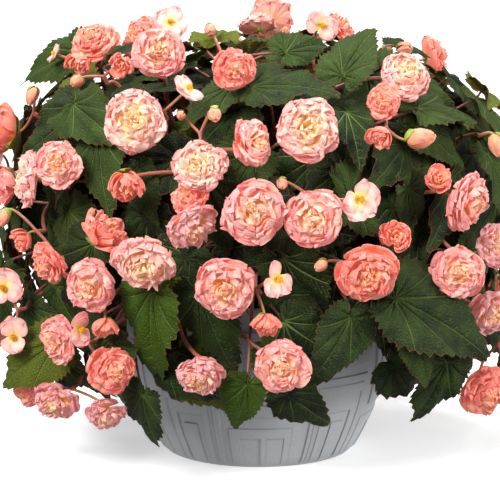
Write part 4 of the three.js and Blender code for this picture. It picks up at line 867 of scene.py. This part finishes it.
def make_stems():
    """The stem in the middle and those round it, which lean out as they rise."""
    stems = []
    for k in range(STEM_COUNT + 1):
        central = k == STEM_COUNT
        azimuth = k * 360 / STEM_COUNT
        out = toward(azimuth, 0)
        circle, lean, rise = (0, CENTRAL_LEAN, CENTRAL_RISE) if central else (STEM_CIRCLE, 1, 1)
        path = [(0, 0), (0, 60), (50, 100 * rise), (110, 150 * rise)]
        controls = [out * (circle + r * lean) + UP * (STEM_BEND + z) for r, z in path]
        stems.append({"name": f"leafy_stem_{k + 1:02d}", "azimuth": azimuth, "central": central,
                      "foot": out * circle + UP * STEM_FOOT, "controls": controls})
    return stems


def near_stems(stems, azimuth, elevation):
    """The stems that a leaf or spray may grow from, the nearest first."""
    def far(stem):
        if stem["central"]:
            return max(95 - elevation * 1.5, 5)
        return abs((stem["azimuth"] - azimuth + 180) % 360 - 180)
    return sorted(stems, key=far)[:5]


# The family of curves that a stalk is chosen from: sideways bows, rises, and shifts of its joint
# along the stem as shares of the stem.
BOWS = [0, 18, -18, 36, -36, 60, -60, 85, -85]
RISES = [0, 25, -20, 50]
JOINTS = [0, -0.18, 0.18, 0.34]
STALK_SAMPLE, STALK_ROOM, BLOOM_REACH = 5.0, 4.6, 60
# Below this height a stalk arches over the rim of the pot, by a share of what it lies lower.
OVER_RIM, PETIOLE_ARCH, PEDUNCLE_ARCH = 250, 0.6, 0.5
PETIOLE_INWARD, PETIOLE_BACK = 40, 18
PEDUNCLE_INWARD, PEDUNCLE_LEAVE, PEDUNCLE_SINK = 38, 25, 0.3


class Thicket:
    """What a stalk has to pass: close samples of the leaves, and the blooms."""

    def __init__(self, leaves, sprays):
        samples = [blade_samples(leaf, STALK_SAMPLE) for leaf in leaves]
        self.owner = np.repeat([leaf["item"] for leaf in leaves], [len(points) for points in samples])
        points = np.concatenate(samples)
        self.tree = KDTree(len(points))
        for i, point in enumerate(points):
            self.tree.insert(Vector(point), i)
        self.tree.balance()
        self.blooms = [b for s in sprays for b in s["blooms"]]
        self.centres = np.array([b["point"] for b in self.blooms])

    def meets(self, line, own, most):
        """How many points of the line lie in a bloom or close to a leaf that isn't its own, counted
        up to the most that still matter."""
        inner = line[2:-2]
        near = np.linalg.norm(self.centres[:, None] - inner, axis=2).min(axis=1) < BLOOM_REACH
        hits = sum(int(inside_bloom(inner, self.blooms[i], 1.0).sum()) for i in np.flatnonzero(near))
        thirds = np.arange(3)[:, None, None] / 3
        close = (line[:-1] * (1 - thirds) + line[1:] * thirds).transpose(1, 0, 2).reshape(-1, 3)
        for point in close[:5:-1]:
            if hits >= most:
                break
            hits += any(self.owner[i] != own for _, i, _ in self.tree.find_range(Vector(point), STALK_ROOM))
        return hits


def route(stems, thicket, place, own, curve_from):
    """The clearest curve of the family, from the nearest stem to the furthest."""
    azimuth, elevation = place
    best_share = min(max(0.5 + elevation / 110, 0.15), 0.98)
    best = (1000, None, None)
    for stem in near_stems(stems, azimuth, elevation)[:3]:
        spot = bezier(stem["controls"], 101)
        for rise in RISES:
            for bow in BOWS:
                for shift in JOINTS:
                    share = min(max(best_share + shift, 0.05), 0.98)
                    start = spot[int(share * 100)]
                    heading = unit(spot[int(share * 100) + 1] - start)
                    line = curve_from(start, heading, bow, rise)
                    hits = thicket.meets(line, own, best[0])
                    if hits < best[0]:
                        best = (hits, stem, line)
                    if hits == 0:
                        return stem, line
    return best[1], best[2]


def petiole_line(leaf, start, bow, rise):
    """A leaf stalk comes up to the foot of its blade from behind, over the pot's rim."""
    end = blade_points(leaf, LEAF_ROOT[:1], LEAF_ROOT[1:])[0] - leaf["face"] * LEAF_HALF_THICKNESS
    over = max(0, OVER_RIM - end[2]) * PETIOLE_ARCH
    middle = end - leaf["crown"]["normal"] * PETIOLE_INWARD - leaf["forward"] * PETIOLE_BACK
    middle = middle + leaf["crown"]["side"] * bow + UP * (over + rise)
    return bezier([start, middle, end], 16)


def peduncle_line(spray, start, heading, bow, rise):
    """A flower stalk ends at its spray, square to it."""
    end = spray["foot"] + spray["outward"] * PEDUNCLE_SINK
    side = spray["blooms"][0]["side"]
    over = max(0, OVER_RIM - end[2]) * PEDUNCLE_ARCH
    near = end - spray["outward"] * PEDUNCLE_INWARD + side * bow + UP * (over * 0.5 + rise)
    leave = start + heading * PEDUNCLE_LEAVE + side * bow * 0.6 + UP * over
    return bezier([start, leave, near, end], 20)


def make_foliage(stems, sprays, leaves, inner, materials):
    """Every leafy stem: its stem, leaves with their stalks, the small leaves within, and the
    stalks of the sprays that it bears."""
    thicket = Thicket(leaves, sprays)
    rng = np.random.default_rng(FOLIAGE_SEED)
    skins = {stem["name"]: Skins() for stem in stems}
    for stem in stems:
        line = np.concatenate([bezier([stem["foot"], stem["controls"][0]], 8)[:-1],
                               bezier(stem["controls"], 22)])
        share = np.linspace(0, 1, len(line))
        radii = STEM_FOOT_RADIUS + (STEM_TIP_RADIUS - STEM_FOOT_RADIUS) * share
        radii = radii * (1 + 0.12 * np.maximum(np.cos(share * TAU * 7), 0) ** 6)
        radii[-1] *= 0.4
        add_stalk(skins[stem["name"]], line, radii, "stem")
    for leaf in leaves:
        stem, line = route(stems, thicket, leaf["place"], leaf["item"],
                           lambda start, heading, bow, rise, leaf=leaf: petiole_line(leaf, start, bow, rise))
        add_stalk(skins[stem["name"]], line, np.linspace(PETIOLE, PETIOLE_TIP, len(line)), "petiole")
        add_leaf(skins[stem["name"]], leaf, LEAF_COLUMNS, FINE_RINGS, rng)
    for leaf in inner:
        stem = near_stems(stems, *leaf["place"])[0]
        spot = bezier(stem["controls"], 11)[min(max(int(5 + leaf["place"][1] / 11), 1), 9)]
        line = petiole_line(leaf, spot, 0, 0)
        add_stalk(skins[stem["name"]], line, np.linspace(PETIOLE * 0.8, PETIOLE_TIP, len(line)), "petiole")
        add_leaf(skins[stem["name"]], leaf, INNER_COLUMNS, COARSE_RINGS, rng)
    for spray in sprays:
        stem, line = route(stems, thicket, spray["place"], -1,
                           lambda start, heading, bow, rise, spray=spray: peduncle_line(
                               spray, start, heading, bow, rise))
        add_stalk(skins[stem["name"]], line, np.full(len(line), PEDUNCLE), "petiole", "peduncle")
    for name, gathered in skins.items():
        made = gathered.piece(f"foliage_of_{name}", materials)
        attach(made, "root")
        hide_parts(name)


# ---- planter and soil --------------------------------------------------------------------------

# The pattern repeats round the pot. Each step has its span across a repeat, its span up the pot,
# both as shares, and how far it stands out.
RELIEF_REPEATS = 5
RELIEF_FRAMES = [
    ((0.08, 0.50), (0, 0.56), 1), ((0.20, 0.38), (0, 0.34), -1), ((0.60, 0.92), (0.34, 0.86), 1),
]
# Finer steps within the frames, that only the dressed planter has, as shares of the full step.
RELIEF_LINES = [
    ((0.11, 0.47), (0.02, 0.51), 0.4), ((0.24, 0.34), (0.02, 0.28), 0.8),
    ((0.66, 0.86), (0.42, 0.78), -0.8), ((0.70, 0.82), (0.48, 0.72), 0.6),
    ((0.55, 0.97), (0.02, 0.27), 0.6), ((0.62, 0.76), (0.02, 0.20), -0.8),
    ((0.80, 0.92), (0.02, 0.20), -0.5), ((0.02, 0.52), (0.62, 0.92), 0.5),
    ((0.06, 0.28), (0.67, 0.87), -0.7), ((0.34, 0.48), (0.67, 0.87), 0.5),
    ((0.43, 0.455), (0.02, 0.45), -0.6), ((0.13, 0.15), (0.02, 0.42), -0.6),
]
# The bevel of each step, how far the painted shade of a groove reaches, and how dark it is.
RELIEF_BEVEL, GROOVE_REACH, PAINTED_GROOVE_SHADE = 0.003, 0.008, 0.16
RELIEF_START = 0.02


def pot_radius(z):
    """The planter's side is a parabola about its belly."""
    return BELLY_RADIUS - (BELLY_RADIUS - FOOT_RADIUS) * (1 - z / BELLY_HEIGHT) ** 2


def relief_level(across, up):
    """The steps that lie under each place of a repeat, added up."""
    level = np.zeros(np.broadcast(across, up).shape)
    for (left, right), (low, high), step in RELIEF_FRAMES + RELIEF_LINES:
        level += step * ((across > left) & (across < right) & (up > low) & (up < high))
    return level


def relief_grid(edges, even):
    """Places in fours at each step of the pattern, two on its bevel and two at the reach of its
    groove, with even ones between them."""
    edges = np.array(edges)
    fours = [edges + side * reach for side in (-1, 1) for reach in (RELIEF_BEVEL, GROOVE_REACH)]
    return np.unique(np.round(np.concatenate([*fours, even]), 5))


def painted_groove_shade(across, up):
    """Painted shade: darker along the edges of the frames, where the grooves fall into shadow."""
    near = np.zeros(np.broadcast(across, up).shape)
    for (left, right), (low, high), _ in RELIEF_FRAMES + RELIEF_LINES:
        beyond_across = np.maximum(left - across, across - right)
        beyond_up = np.maximum(low - up, up - high)
        from_edge = np.abs(np.maximum(beyond_across, beyond_up))
        near = np.maximum(near, 1 - smooth_step(from_edge, RELIEF_BEVEL * 1.2, GROOVE_REACH * 0.95))
    return 1 - PAINTED_GROOVE_SHADE * near


def make_pot(materials):
    """The planter: rows up the stepped side, over the round lip and down the inner wall."""
    steps = RELIEF_FRAMES + RELIEF_LINES
    shares = relief_grid([e for s in steps for e in s[0]], np.linspace(0, 1, 26)[:-1])
    shares = shares[(shares >= 0) & (shares < 1)]
    ups = relief_grid([e for s in steps for e in s[1] if e > RELIEF_START], np.linspace(0.04, 0.94, 30))
    angle = ((np.arange(RELIEF_REPEATS)[:, None] + shares) / RELIEF_REPEATS * TAU).ravel()
    across = np.tile(shares, RELIEF_REPEATS)
    level = relief_level(across[None], ups[:, None])
    lip = POT_WALL / 2
    turns = np.radians(np.linspace(0, 180, 9))
    below = [(FOOT_RADIUS - inset, z) for inset, z in ((30, 0.0), (6, 0.0), (4.2, 0.4), (3.2, 1.6))]
    above = [(pot_radius(POT_HEIGHT - lip) - lip + lip * math.cos(t), POT_HEIGHT - lip + lip * math.sin(t))
             for t in turns]
    above += [(pot_radius(z) - POT_WALL, z) for z in (150, 110, 70, 35, POT_FLOOR + 1)]
    above += [(pot_radius(POT_FLOOR) - POT_WALL - 3, POT_FLOOR)]
    plain = np.ones(len(across))
    radius = np.concatenate([[r * plain for r, _ in below], pot_radius(ups * POT_HEIGHT)[:, None]
                             + POT_RELIEF * (level - 1), [r * plain for r, _ in above]])
    height = np.concatenate([[z for _, z in below], ups * POT_HEIGHT, [z for _, z in above]])
    rings = np.stack([radius * np.cos(angle), radius * np.sin(angle), height[:, None] * plain], axis=-1)[None]
    # The painted shade along the grooves, carried in the planter's tint.
    shade = np.concatenate([np.ones((len(below), len(across))), painted_groove_shade(across[None], ups[:, None]),
                            np.ones((len(above), len(across)))])
    skins = Skins()
    skins.add(rings, opaque(np.repeat(shade[None, ..., None], 3, axis=3)), [0, 0, 0], "pot")
    pot = skins.piece("planter", materials, sharp=28)
    cutters = Skins()
    for h in range(DRAIN_COUNT):
        centre = toward((h + 0.5) / DRAIN_COUNT * 360, 0) * DRAIN_CIRCLE
        line = np.array([centre - UP * 6, centre + UP * 24])
        cutters.add(tube(line, DRAIN_RADIUS, 32), [1, 1, 1, 1], [0, 0, 0], "pot")
    drill = cutters.piece("drain_drill", materials)
    cut = pot.modifiers.new("drains", "BOOLEAN")
    cut.operation, cut.solver, cut.object = "DIFFERENCE", "EXACT", drill
    bored = bpy.data.meshes.new_from_object(pot.evaluated_get(bpy.context.evaluated_depsgraph_get()))
    pot.modifiers.clear()
    pot.data = bored
    bpy.data.objects.remove(drill)
    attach(pot, "root")
    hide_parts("pot")


SOIL_COLUMNS, SOIL_RINGS = 150, 46
SOIL_GAP, SOIL_CRUMB = 1.5, 2.6


def make_soil(materials):
    """The soil: from a flat bottom up the wall, and over a low crown that random draws crumble."""
    rng = np.random.default_rng(SOIL_SEED)
    angle = np.arange(SOIL_COLUMNS) / SOIL_COLUMNS * TAU
    wall = [(pot_radius(z) - POT_WALL - SOIL_GAP, z) for z in (POT_FLOOR + 0.5, 60, 110, 150, SOIL_TOP - 1)]
    share = np.linspace(0.995, 0.01, SOIL_RINGS)
    reach = pot_radius(SOIL_TOP) - POT_WALL - SOIL_GAP
    crown = SOIL_TOP + SOIL_CROWN * np.clip((1 - share) / (1 - SOIL_CROWN_RADIUS / reach), 0, 1)
    radius = np.concatenate([[w[0] for w in wall], share * reach])[:, None] * np.ones(SOIL_COLUMNS)
    height = np.concatenate([[w[1] for w in wall], crown])[:, None] * np.ones(SOIL_COLUMNS)
    crumb = rng.random(height.shape) + np.roll(rng.random(height.shape), 1, axis=1)
    height[len(wall):] += (crumb[len(wall):] - 1.0) * SOIL_CRUMB
    rings = np.stack([radius * np.cos(angle), radius * np.sin(angle), height], axis=-1)[None]
    skins = Skins()
    skins.add(rings, [1, 1, 1, 1], [0, 0, 0], "soil")
    soil = skins.piece("potting_soil", materials)
    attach(soil, "root")
    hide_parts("soil")


# ---- materials ---------------------------------------------------------------------------------


class Finish:
    """A material and its nodes."""

    def __init__(self, name, **surface):
        self.material = bpy.data.materials.new(name)
        self.material.use_nodes = True
        self.nodes, self.links = self.material.node_tree.nodes, self.material.node_tree.links
        self.surface = self.nodes["Principled BSDF"]
        for socket, value in surface.items():
            self.surface.inputs[socket.replace("_", " ")].default_value = value

    def node(self, kind, inputs=(), **settings):
        made = self.nodes.new("ShaderNode" + kind)
        for key, value in settings.items():
            setattr(made, key, value)
        for socket, value in dict(inputs).items():
            if isinstance(value, bpy.types.NodeSocket):
                self.links.new(value, made.inputs[socket])
            else:
                made.inputs[socket].default_value = value
        return made

    def math(self, operation, a, b=0.0):
        return self.node("Math", {0: a, 1: b}, operation=operation).outputs[0]

    def ranged(self, value, low, high, to_low, to_high, smooth=True):
        return self.node("MapRange", {"Value": value, "From Min": low, "From Max": high, "To Min": to_low,
                                      "To Max": to_high},
                         interpolation_type="SMOOTHSTEP" if smooth else "LINEAR").outputs["Result"]

    def noise(self, vector, scale, detail=4.0, roughness=0.55):
        return self.node("TexNoise", {"Vector": vector, "Scale": scale, "Detail": detail,
                                      "Roughness": roughness}).outputs["Fac"]

    def mixed(self, share, a, b, blend="MIX"):
        made = self.node("Mix", data_type="RGBA", blend_type=blend)
        for socket, value in ((0, share), (6, a), (7, b)):
            if isinstance(value, bpy.types.NodeSocket):
                self.links.new(value, made.inputs[socket])
            else:
                made.inputs[socket].default_value = value
        return made.outputs[2]

    def scaled(self, colour, factor):
        return self.node("VectorMath", {0: colour, "Scale": factor}, operation="SCALE").outputs[0]

    def stretched(self, vector, scale):
        return self.node("Mapping", {"Vector": vector, "Scale": scale}).outputs[0]

    def bump(self, height, strength, distance):
        made = self.node("Bump", {"Height": height, "Strength": strength, "Distance": distance})
        self.links.new(made.outputs[0], self.surface.inputs["Normal"])

    def paint(self, colour):
        self.links.new(colour, self.surface.inputs["Base Color"])

    @property
    def place(self):
        return self.node("TexCoord").outputs["Object"]

    def attribute(self, name):
        return self.node("Attribute", attribute_name=name).outputs


def rgba(colour):
    return (*colour, 1.0)


def petal_finish():
    """Thin tissue: the tint, streaked lengthwise by the fine veins, soft and a little translucent. A
    faint light of its own stands for what shines through from petal to petal."""
    finish = Finish("petal_tissue", Roughness=0.5, Subsurface_Weight=0.6, Subsurface_Scale=0.005,
                    Specular_IOR_Level=0.3, Sheen_Weight=0.12, Sheen_Roughness=0.4,
                    Emission_Strength=0.07)
    finish.surface.inputs["Subsurface Radius"].default_value = (1.0, 0.45, 0.35)
    tint, chart = finish.attribute("tint")["Color"], finish.attribute("chart")["Vector"]
    streaks = finish.noise(finish.stretched(chart, (1.4, 9.0, 23.0)), 2.2, 5.0, 0.6)
    fine = finish.noise(finish.place, 900.0, 3.0)
    shade = finish.ranged(streaks, 0.3, 0.7, 0.86, 1.07)
    tissue = finish.scaled(tint, finish.math("MULTIPLY", shade, finish.ranged(fine, 0.2, 0.8, 0.97, 1.03)))
    finish.paint(tissue)
    finish.links.new(tissue, finish.surface.inputs["Emission Color"])
    finish.bump(streaks, 0.35, 0.0008)
    return finish.material


def bract_finish():
    finish = Finish("green_bract", Roughness=0.45, Subsurface_Weight=0.15, Subsurface_Scale=0.003)
    tint, chart = finish.attribute("tint")["Color"], finish.attribute("chart")["Vector"]
    streaks = finish.noise(finish.stretched(chart, (1.0, 6.0, 17.0)), 2.0)
    finish.paint(finish.scaled(tint, finish.ranged(streaks, 0.3, 0.7, 0.8, 1.1)))
    finish.bump(streaks, 0.3, 0.0006)
    return finish.material


def stamen_finish():
    finish = Finish("yellow_stamen", Roughness=0.6, Subsurface_Weight=0.1, Subsurface_Scale=0.002)
    grain = finish.noise(finish.place, 1500.0)
    finish.paint(finish.scaled(finish.attribute("tint")["Color"], finish.ranged(grain, 0.3, 0.7, 0.75, 1.15)))
    finish.bump(grain, 0.4, 0.0003)
    return finish.material


def stalk_finish():
    """Juicy stalks, mottled along their length, with a fine down."""
    finish = Finish("fleshy_stalk", Roughness=0.42, Subsurface_Weight=0.12, Subsurface_Scale=0.003,
                    Sheen_Weight=0.15)
    mottle = finish.noise(finish.place, 120.0, 5.0)
    down = finish.noise(finish.place, 1400.0, 2.0)
    warm = finish.mixed(finish.ranged(mottle, 0.35, 0.7, 0.0, 0.6), finish.attribute("tint")["Color"],
                        rgba(srgb(138, 52, 36)))
    finish.paint(finish.scaled(warm, finish.ranged(down, 0.3, 0.7, 0.85, 1.1)))
    finish.bump(down, 0.3, 0.0004)
    return finish.material


def leaf_finish():
    """The chart holds the distance from the nearest main vein, the share from root to rim, and 0
    on the upper face to 1 on the lower. Main veins taper to the rim, side veins leave them in
    chevrons, a fine net puckers the rest, and the margin is red."""
    finish = Finish("veined_leaf", Specular_IOR_Level=0.14, Subsurface_Weight=0.05, Subsurface_Scale=0.003)
    tint, chart = finish.attribute("tint"), finish.attribute("chart")["Vector"]
    parts = finish.node("SeparateXYZ", {0: chart}).outputs
    from_vein, share, under = parts[0], parts[1], parts[2]
    width = finish.ranged(share, 0.0, 1.0, 0.024, 0.007, smooth=False)
    distance = finish.math("MULTIPLY", from_vein, finish.math("MULTIPLY", share, 0.36))
    main = finish.ranged(distance, finish.math("MULTIPLY", width, 0.2), width, 1.0, 0.0)
    step = finish.math("SUBTRACT", share, finish.math("MULTIPLY", from_vein, 0.62))
    side = finish.math("PINGPONG", finish.math("MULTIPLY", step, 8.0), 0.5)
    side = finish.ranged(side, 0.02, 0.14, 1.0, 0.0)
    side = finish.math("MULTIPLY", side, finish.ranged(share, 0.1, 0.3, 0.0, 1.0))
    side = finish.math("MULTIPLY", side, finish.ranged(from_vein, 0.2, 0.48, 1.0, 0.0))
    net = finish.node("TexVoronoi", {"Vector": finish.place, "Scale": 330.0}, feature="DISTANCE_TO_EDGE")
    cells = finish.ranged(net.outputs["Distance"], 0.0, 0.32, 0.0, 1.0)
    patches = finish.noise(finish.place, 42.0, 5.0)
    down = finish.noise(finish.place, 1600.0, 2.0)
    blade = finish.mixed(finish.ranged(patches, 0.3, 0.72, 0.0, 0.3), tint["Color"], rgba(srgb(74, 100, 36)))
    blade = finish.scaled(blade, finish.ranged(cells, 0.0, 1.0, 0.8, 1.06))
    veins = finish.math("MAXIMUM", main, finish.math("MULTIPLY", side, 0.45))
    veins = finish.math("MULTIPLY", veins, tint["Alpha"])
    upper = finish.mixed(finish.math("MULTIPLY", veins, 0.85), blade, rgba(srgb(126, 148, 84)))
    lower_blade = finish.mixed(0.5, tint["Color"], rgba(srgb(124, 128, 56)))
    ribs = finish.math("MAXIMUM", main, finish.math("MULTIPLY", side, 0.7))
    lower = finish.mixed(ribs, lower_blade, rgba(srgb(150, 82, 60)))
    skin = finish.mixed(finish.ranged(under, 0.62, 0.9, 0.0, 1.0), upper, lower)
    edge = finish.ranged(finish.math("ABSOLUTE", finish.math("SUBTRACT", under, 0.5)), 0.04, 0.2, 0.75, 0.0)
    skin = finish.mixed(edge, skin, rgba(srgb(110, 60, 42)))
    finish.paint(finish.scaled(skin, finish.ranged(down, 0.3, 0.7, 0.9, 1.08)))
    finish.links.new(finish.ranged(patches, 0.2, 0.8, 0.42, 0.62), finish.surface.inputs["Roughness"])
    furrow = finish.math("MULTIPLY", finish.math("MAXIMUM", main, finish.math("MULTIPLY", side, 0.75)), -1.0)
    relief = finish.math("ADD", furrow, finish.math("MULTIPLY", cells, 0.35))
    relief = finish.math("ADD", relief, finish.math("MULTIPLY", down, 0.12))
    finish.bump(relief, 0.8, 0.0024)
    return finish.material


def pot_finish():
    """Satin moulded planter: faint clouding, a fine orange-peel surface and softly worn gloss, darkened along
    its grooves by the painted shade in its tint.
    """
    finish = Finish("satin_planter", Specular_IOR_Level=0.45, Coat_Weight=0.08, Coat_Roughness=0.3)
    cloud = finish.noise(finish.place, 9.0, 5.0)
    speck = finish.noise(finish.place, 260.0, 3.0)
    peel = finish.noise(finish.place, 620.0, 2.0)
    shade = finish.mixed(finish.ranged(cloud, 0.3, 0.7, 0.0, 1.0), rgba(srgb(164, 167, 170)),
                         rgba(srgb(178, 181, 184)))
    # The tint multiplies in the painted shade along the grooves.
    shade = finish.mixed(1.0, shade, finish.attribute("tint")["Color"], "MULTIPLY")
    finish.paint(finish.scaled(shade, finish.ranged(speck, 0.3, 0.75, 0.97, 1.03)))
    finish.links.new(finish.ranged(cloud, 0.3, 0.7, 0.34, 0.46), finish.surface.inputs["Roughness"])
    finish.bump(peel, 0.12, 0.0004)
    return finish.material


def soil_finish():
    """Crumbly peat: brown and black grains with the odd pale speck of perlite."""
    finish = Finish("peat_soil", Roughness=0.95, Specular_IOR_Level=0.2)
    grains = finish.node("TexVoronoi", {"Vector": finish.place, "Scale": 340.0}).outputs
    clumps = finish.noise(finish.place, 90.0, 6.0)
    base = finish.mixed(clumps, rgba(srgb(34, 25, 19)), rgba(srgb(78, 58, 43)))
    parts = finish.node("SeparateColor", {0: grains["Color"]}).outputs
    perlite = finish.ranged(parts[0], 0.95, 0.97, 0.0, 1.0)
    finish.paint(finish.mixed(perlite, base, rgba(srgb(202, 196, 184))))
    finish.bump(finish.math("ADD", clumps, finish.math("MULTIPLY", grains["Distance"], -0.8)), 1.0, 0.004)
    return finish.material


# ---- stage, lights and camera ------------------------------------------------------------------

# Radius and height of the floor and its curved wall, in metres.
STAGE_PROFILE = np.array(
    [[1.2, 0], [2.4, 0], [4, 0], [5.6, 0], [6.3, 0.12], [6.8, 0.5], [7.1, 1.3], [7.2, 5]])
STAGE_SIDES = 96
# Each light's place and width in metres, and its power in watts.
LIGHTS = {"key": ((-1.2, -2.1, 1.7), 1.2, 120), "fill": ((2.2, -1.1, 0.7), 1.4, 58),
          "top": ((0.1, 0.0, 2.3), 1.2, 50)}
ROOM_LIGHT = 0.46
# In metres; the lens and its sensor in millimetres.
CAMERA_PLACE, CAMERA_AIM = (-0.010, -1.900, 0.481), (-0.010, 0.0, 0.235)
CAMERA_LENS, CAMERA_SENSOR = 116.2, 36


def make_stage():
    """A wide pale dish: a flat round floor that curves up into a wall, turned about the vertical.
    Away from the pot it gives light of its own, so that it fades to plain white."""
    around = np.arange(STAGE_SIDES) / STAGE_SIDES * TAU
    radius, height = STAGE_PROFILE[:, :1], np.repeat(STAGE_PROFILE[:, 1:], STAGE_SIDES, axis=1)
    points = np.stack([radius * np.cos(around), radius * np.sin(around), height], axis=-1).reshape(-1, 3)
    here = np.arange(STAGE_SIDES)
    ahead = (here + 1) % STAGE_SIDES
    row = np.arange(len(STAGE_PROFILE) - 1)[:, None] * STAGE_SIDES
    walls = np.stack([row + here, row + STAGE_SIDES + here, row + STAGE_SIDES + ahead, row + ahead], axis=-1)
    mesh = bpy.data.meshes.new("studio_floor")
    mesh.from_pydata(points.tolist(), [], [here.tolist()] + walls.reshape(-1, 4).tolist())
    mesh.shade_smooth()
    floor = bpy.data.objects.new("studio_floor", mesh)
    bpy.context.scene.collection.objects.link(floor)
    finish = Finish("lit_studio_table", Roughness=0.9, Specular_IOR_Level=0.1,
                    Emission_Color=(1.0, 1.0, 1.0, 1.0))
    grain = finish.noise(finish.place, 3.0)
    finish.paint(finish.mixed(grain, (0.93, 0.93, 0.93, 1), (0.95, 0.95, 0.95, 1)))
    reach = finish.node("VectorMath", {0: finish.place}, operation="LENGTH").outputs["Value"]
    finish.links.new(finish.ranged(reach, 0.5, 2.6, 0.33, 0.9), finish.surface.inputs["Emission Strength"])
    mesh.materials.append(finish.material)
    floor.visible_diffuse = floor.visible_glossy = floor.visible_transmission = False


def make_light(name, place, size, energy, target=(0.0, 0.0, 0.25)):
    """A round soft light that is turned to the plant."""
    lamp = bpy.data.lights.new(name, "AREA")
    lamp.shape, lamp.size, lamp.energy = "DISK", size, energy
    holder = bpy.data.objects.new(name, lamp)
    holder.location = place
    holder.rotation_euler = (Vector(target) - Vector(place)).to_track_quat("-Z", "Y").to_euler()
    bpy.context.scene.collection.objects.link(holder)


def make_studio():
    """Plain white light from the room, and the three soft lights."""
    scene = bpy.context.scene
    scene.view_settings.view_transform = "Standard"
    world = bpy.data.worlds.new("soft_room")
    world.use_nodes = True
    world.node_tree.nodes["Background"].inputs["Color"].default_value = (1.0, 1.0, 1.0, 1)
    world.node_tree.nodes["Background"].inputs["Strength"].default_value = ROOM_LIGHT
    scene.world = world
    for name, (place, size, energy) in LIGHTS.items():
        make_light(name, place, size, energy)


def make_camera():
    """Seen from the front, a little from above, with a long lens."""
    lens = bpy.data.cameras.new("camera")
    lens.lens, lens.sensor_width = CAMERA_LENS, CAMERA_SENSOR
    camera = bpy.data.objects.new("camera", lens)
    camera.location = CAMERA_PLACE
    aim = Vector(CAMERA_AIM) - camera.location
    camera.rotation_euler = aim.to_track_quat("-Z", "Y").to_euler()
    bpy.context.scene.collection.objects.link(camera)
    bpy.context.scene.camera = camera


# ---- the whole plant ---------------------------------------------------------------------------


def leaf_shade(number):
    if number in LEAF_SHADES:
        return LEAF_SHADES[number]
    return ("green", "green", "dark", "green")[int(draw(number, 7) * 4)]


def dark_third(number):
    """Every third leaf is dark."""
    return "green" if number % 3 else "dark"


def make_plant():
    materials = {"petal": petal_finish(), "bract": bract_finish(), "stamen": stamen_finish(),
                 "stalk": stalk_finish(), "leaf": leaf_finish(), "pot": pot_finish(), "soil": soil_finish()}
    make_pot(materials)
    make_soil(materials)
    stems = make_stems()
    sprays = [spray_of(rows, number) for number, rows in enumerate(FRONT_SPRAYS + back_sprays())]
    leaves = settle_leaves(FRONT_LEAVES + back_leaves(), sprays, [], LEAF_START, LEAF_STEPS, leaf_shade)
    settle_leaves(spread_leaves(*GAP_LEAVES), sprays, leaves, *GAP_SINK, dark_third)
    settle_leaves(spread_leaves(*TOP_LEAVES), sprays, leaves, *TOP_SINK, lambda number: "green")
    settle_leaves(CROWN_LEAVES, sprays, leaves, *CROWN_SINK, lambda number: "green")
    settle_leaves(side_leaves(), sprays, leaves, *SIDE_SINK, dark_third)
    # The leaves within the crown and deep in it are near-black: painted shade in its interior.
    inner = settle_leaves(spread_leaves(*INNER_LEAVES), sprays, [], *INNER_SINK, lambda number: "inner")
    inner += settle_leaves(spread_leaves(*DEEP_LEAVES), sprays, [], *DEEP_SINK, lambda number: "inner")
    for spray in sprays:
        make_spray(spray, materials)
    make_foliage(stems, sprays, leaves, inner, materials)


make_plant()
make_stage()
make_studio()
make_camera()
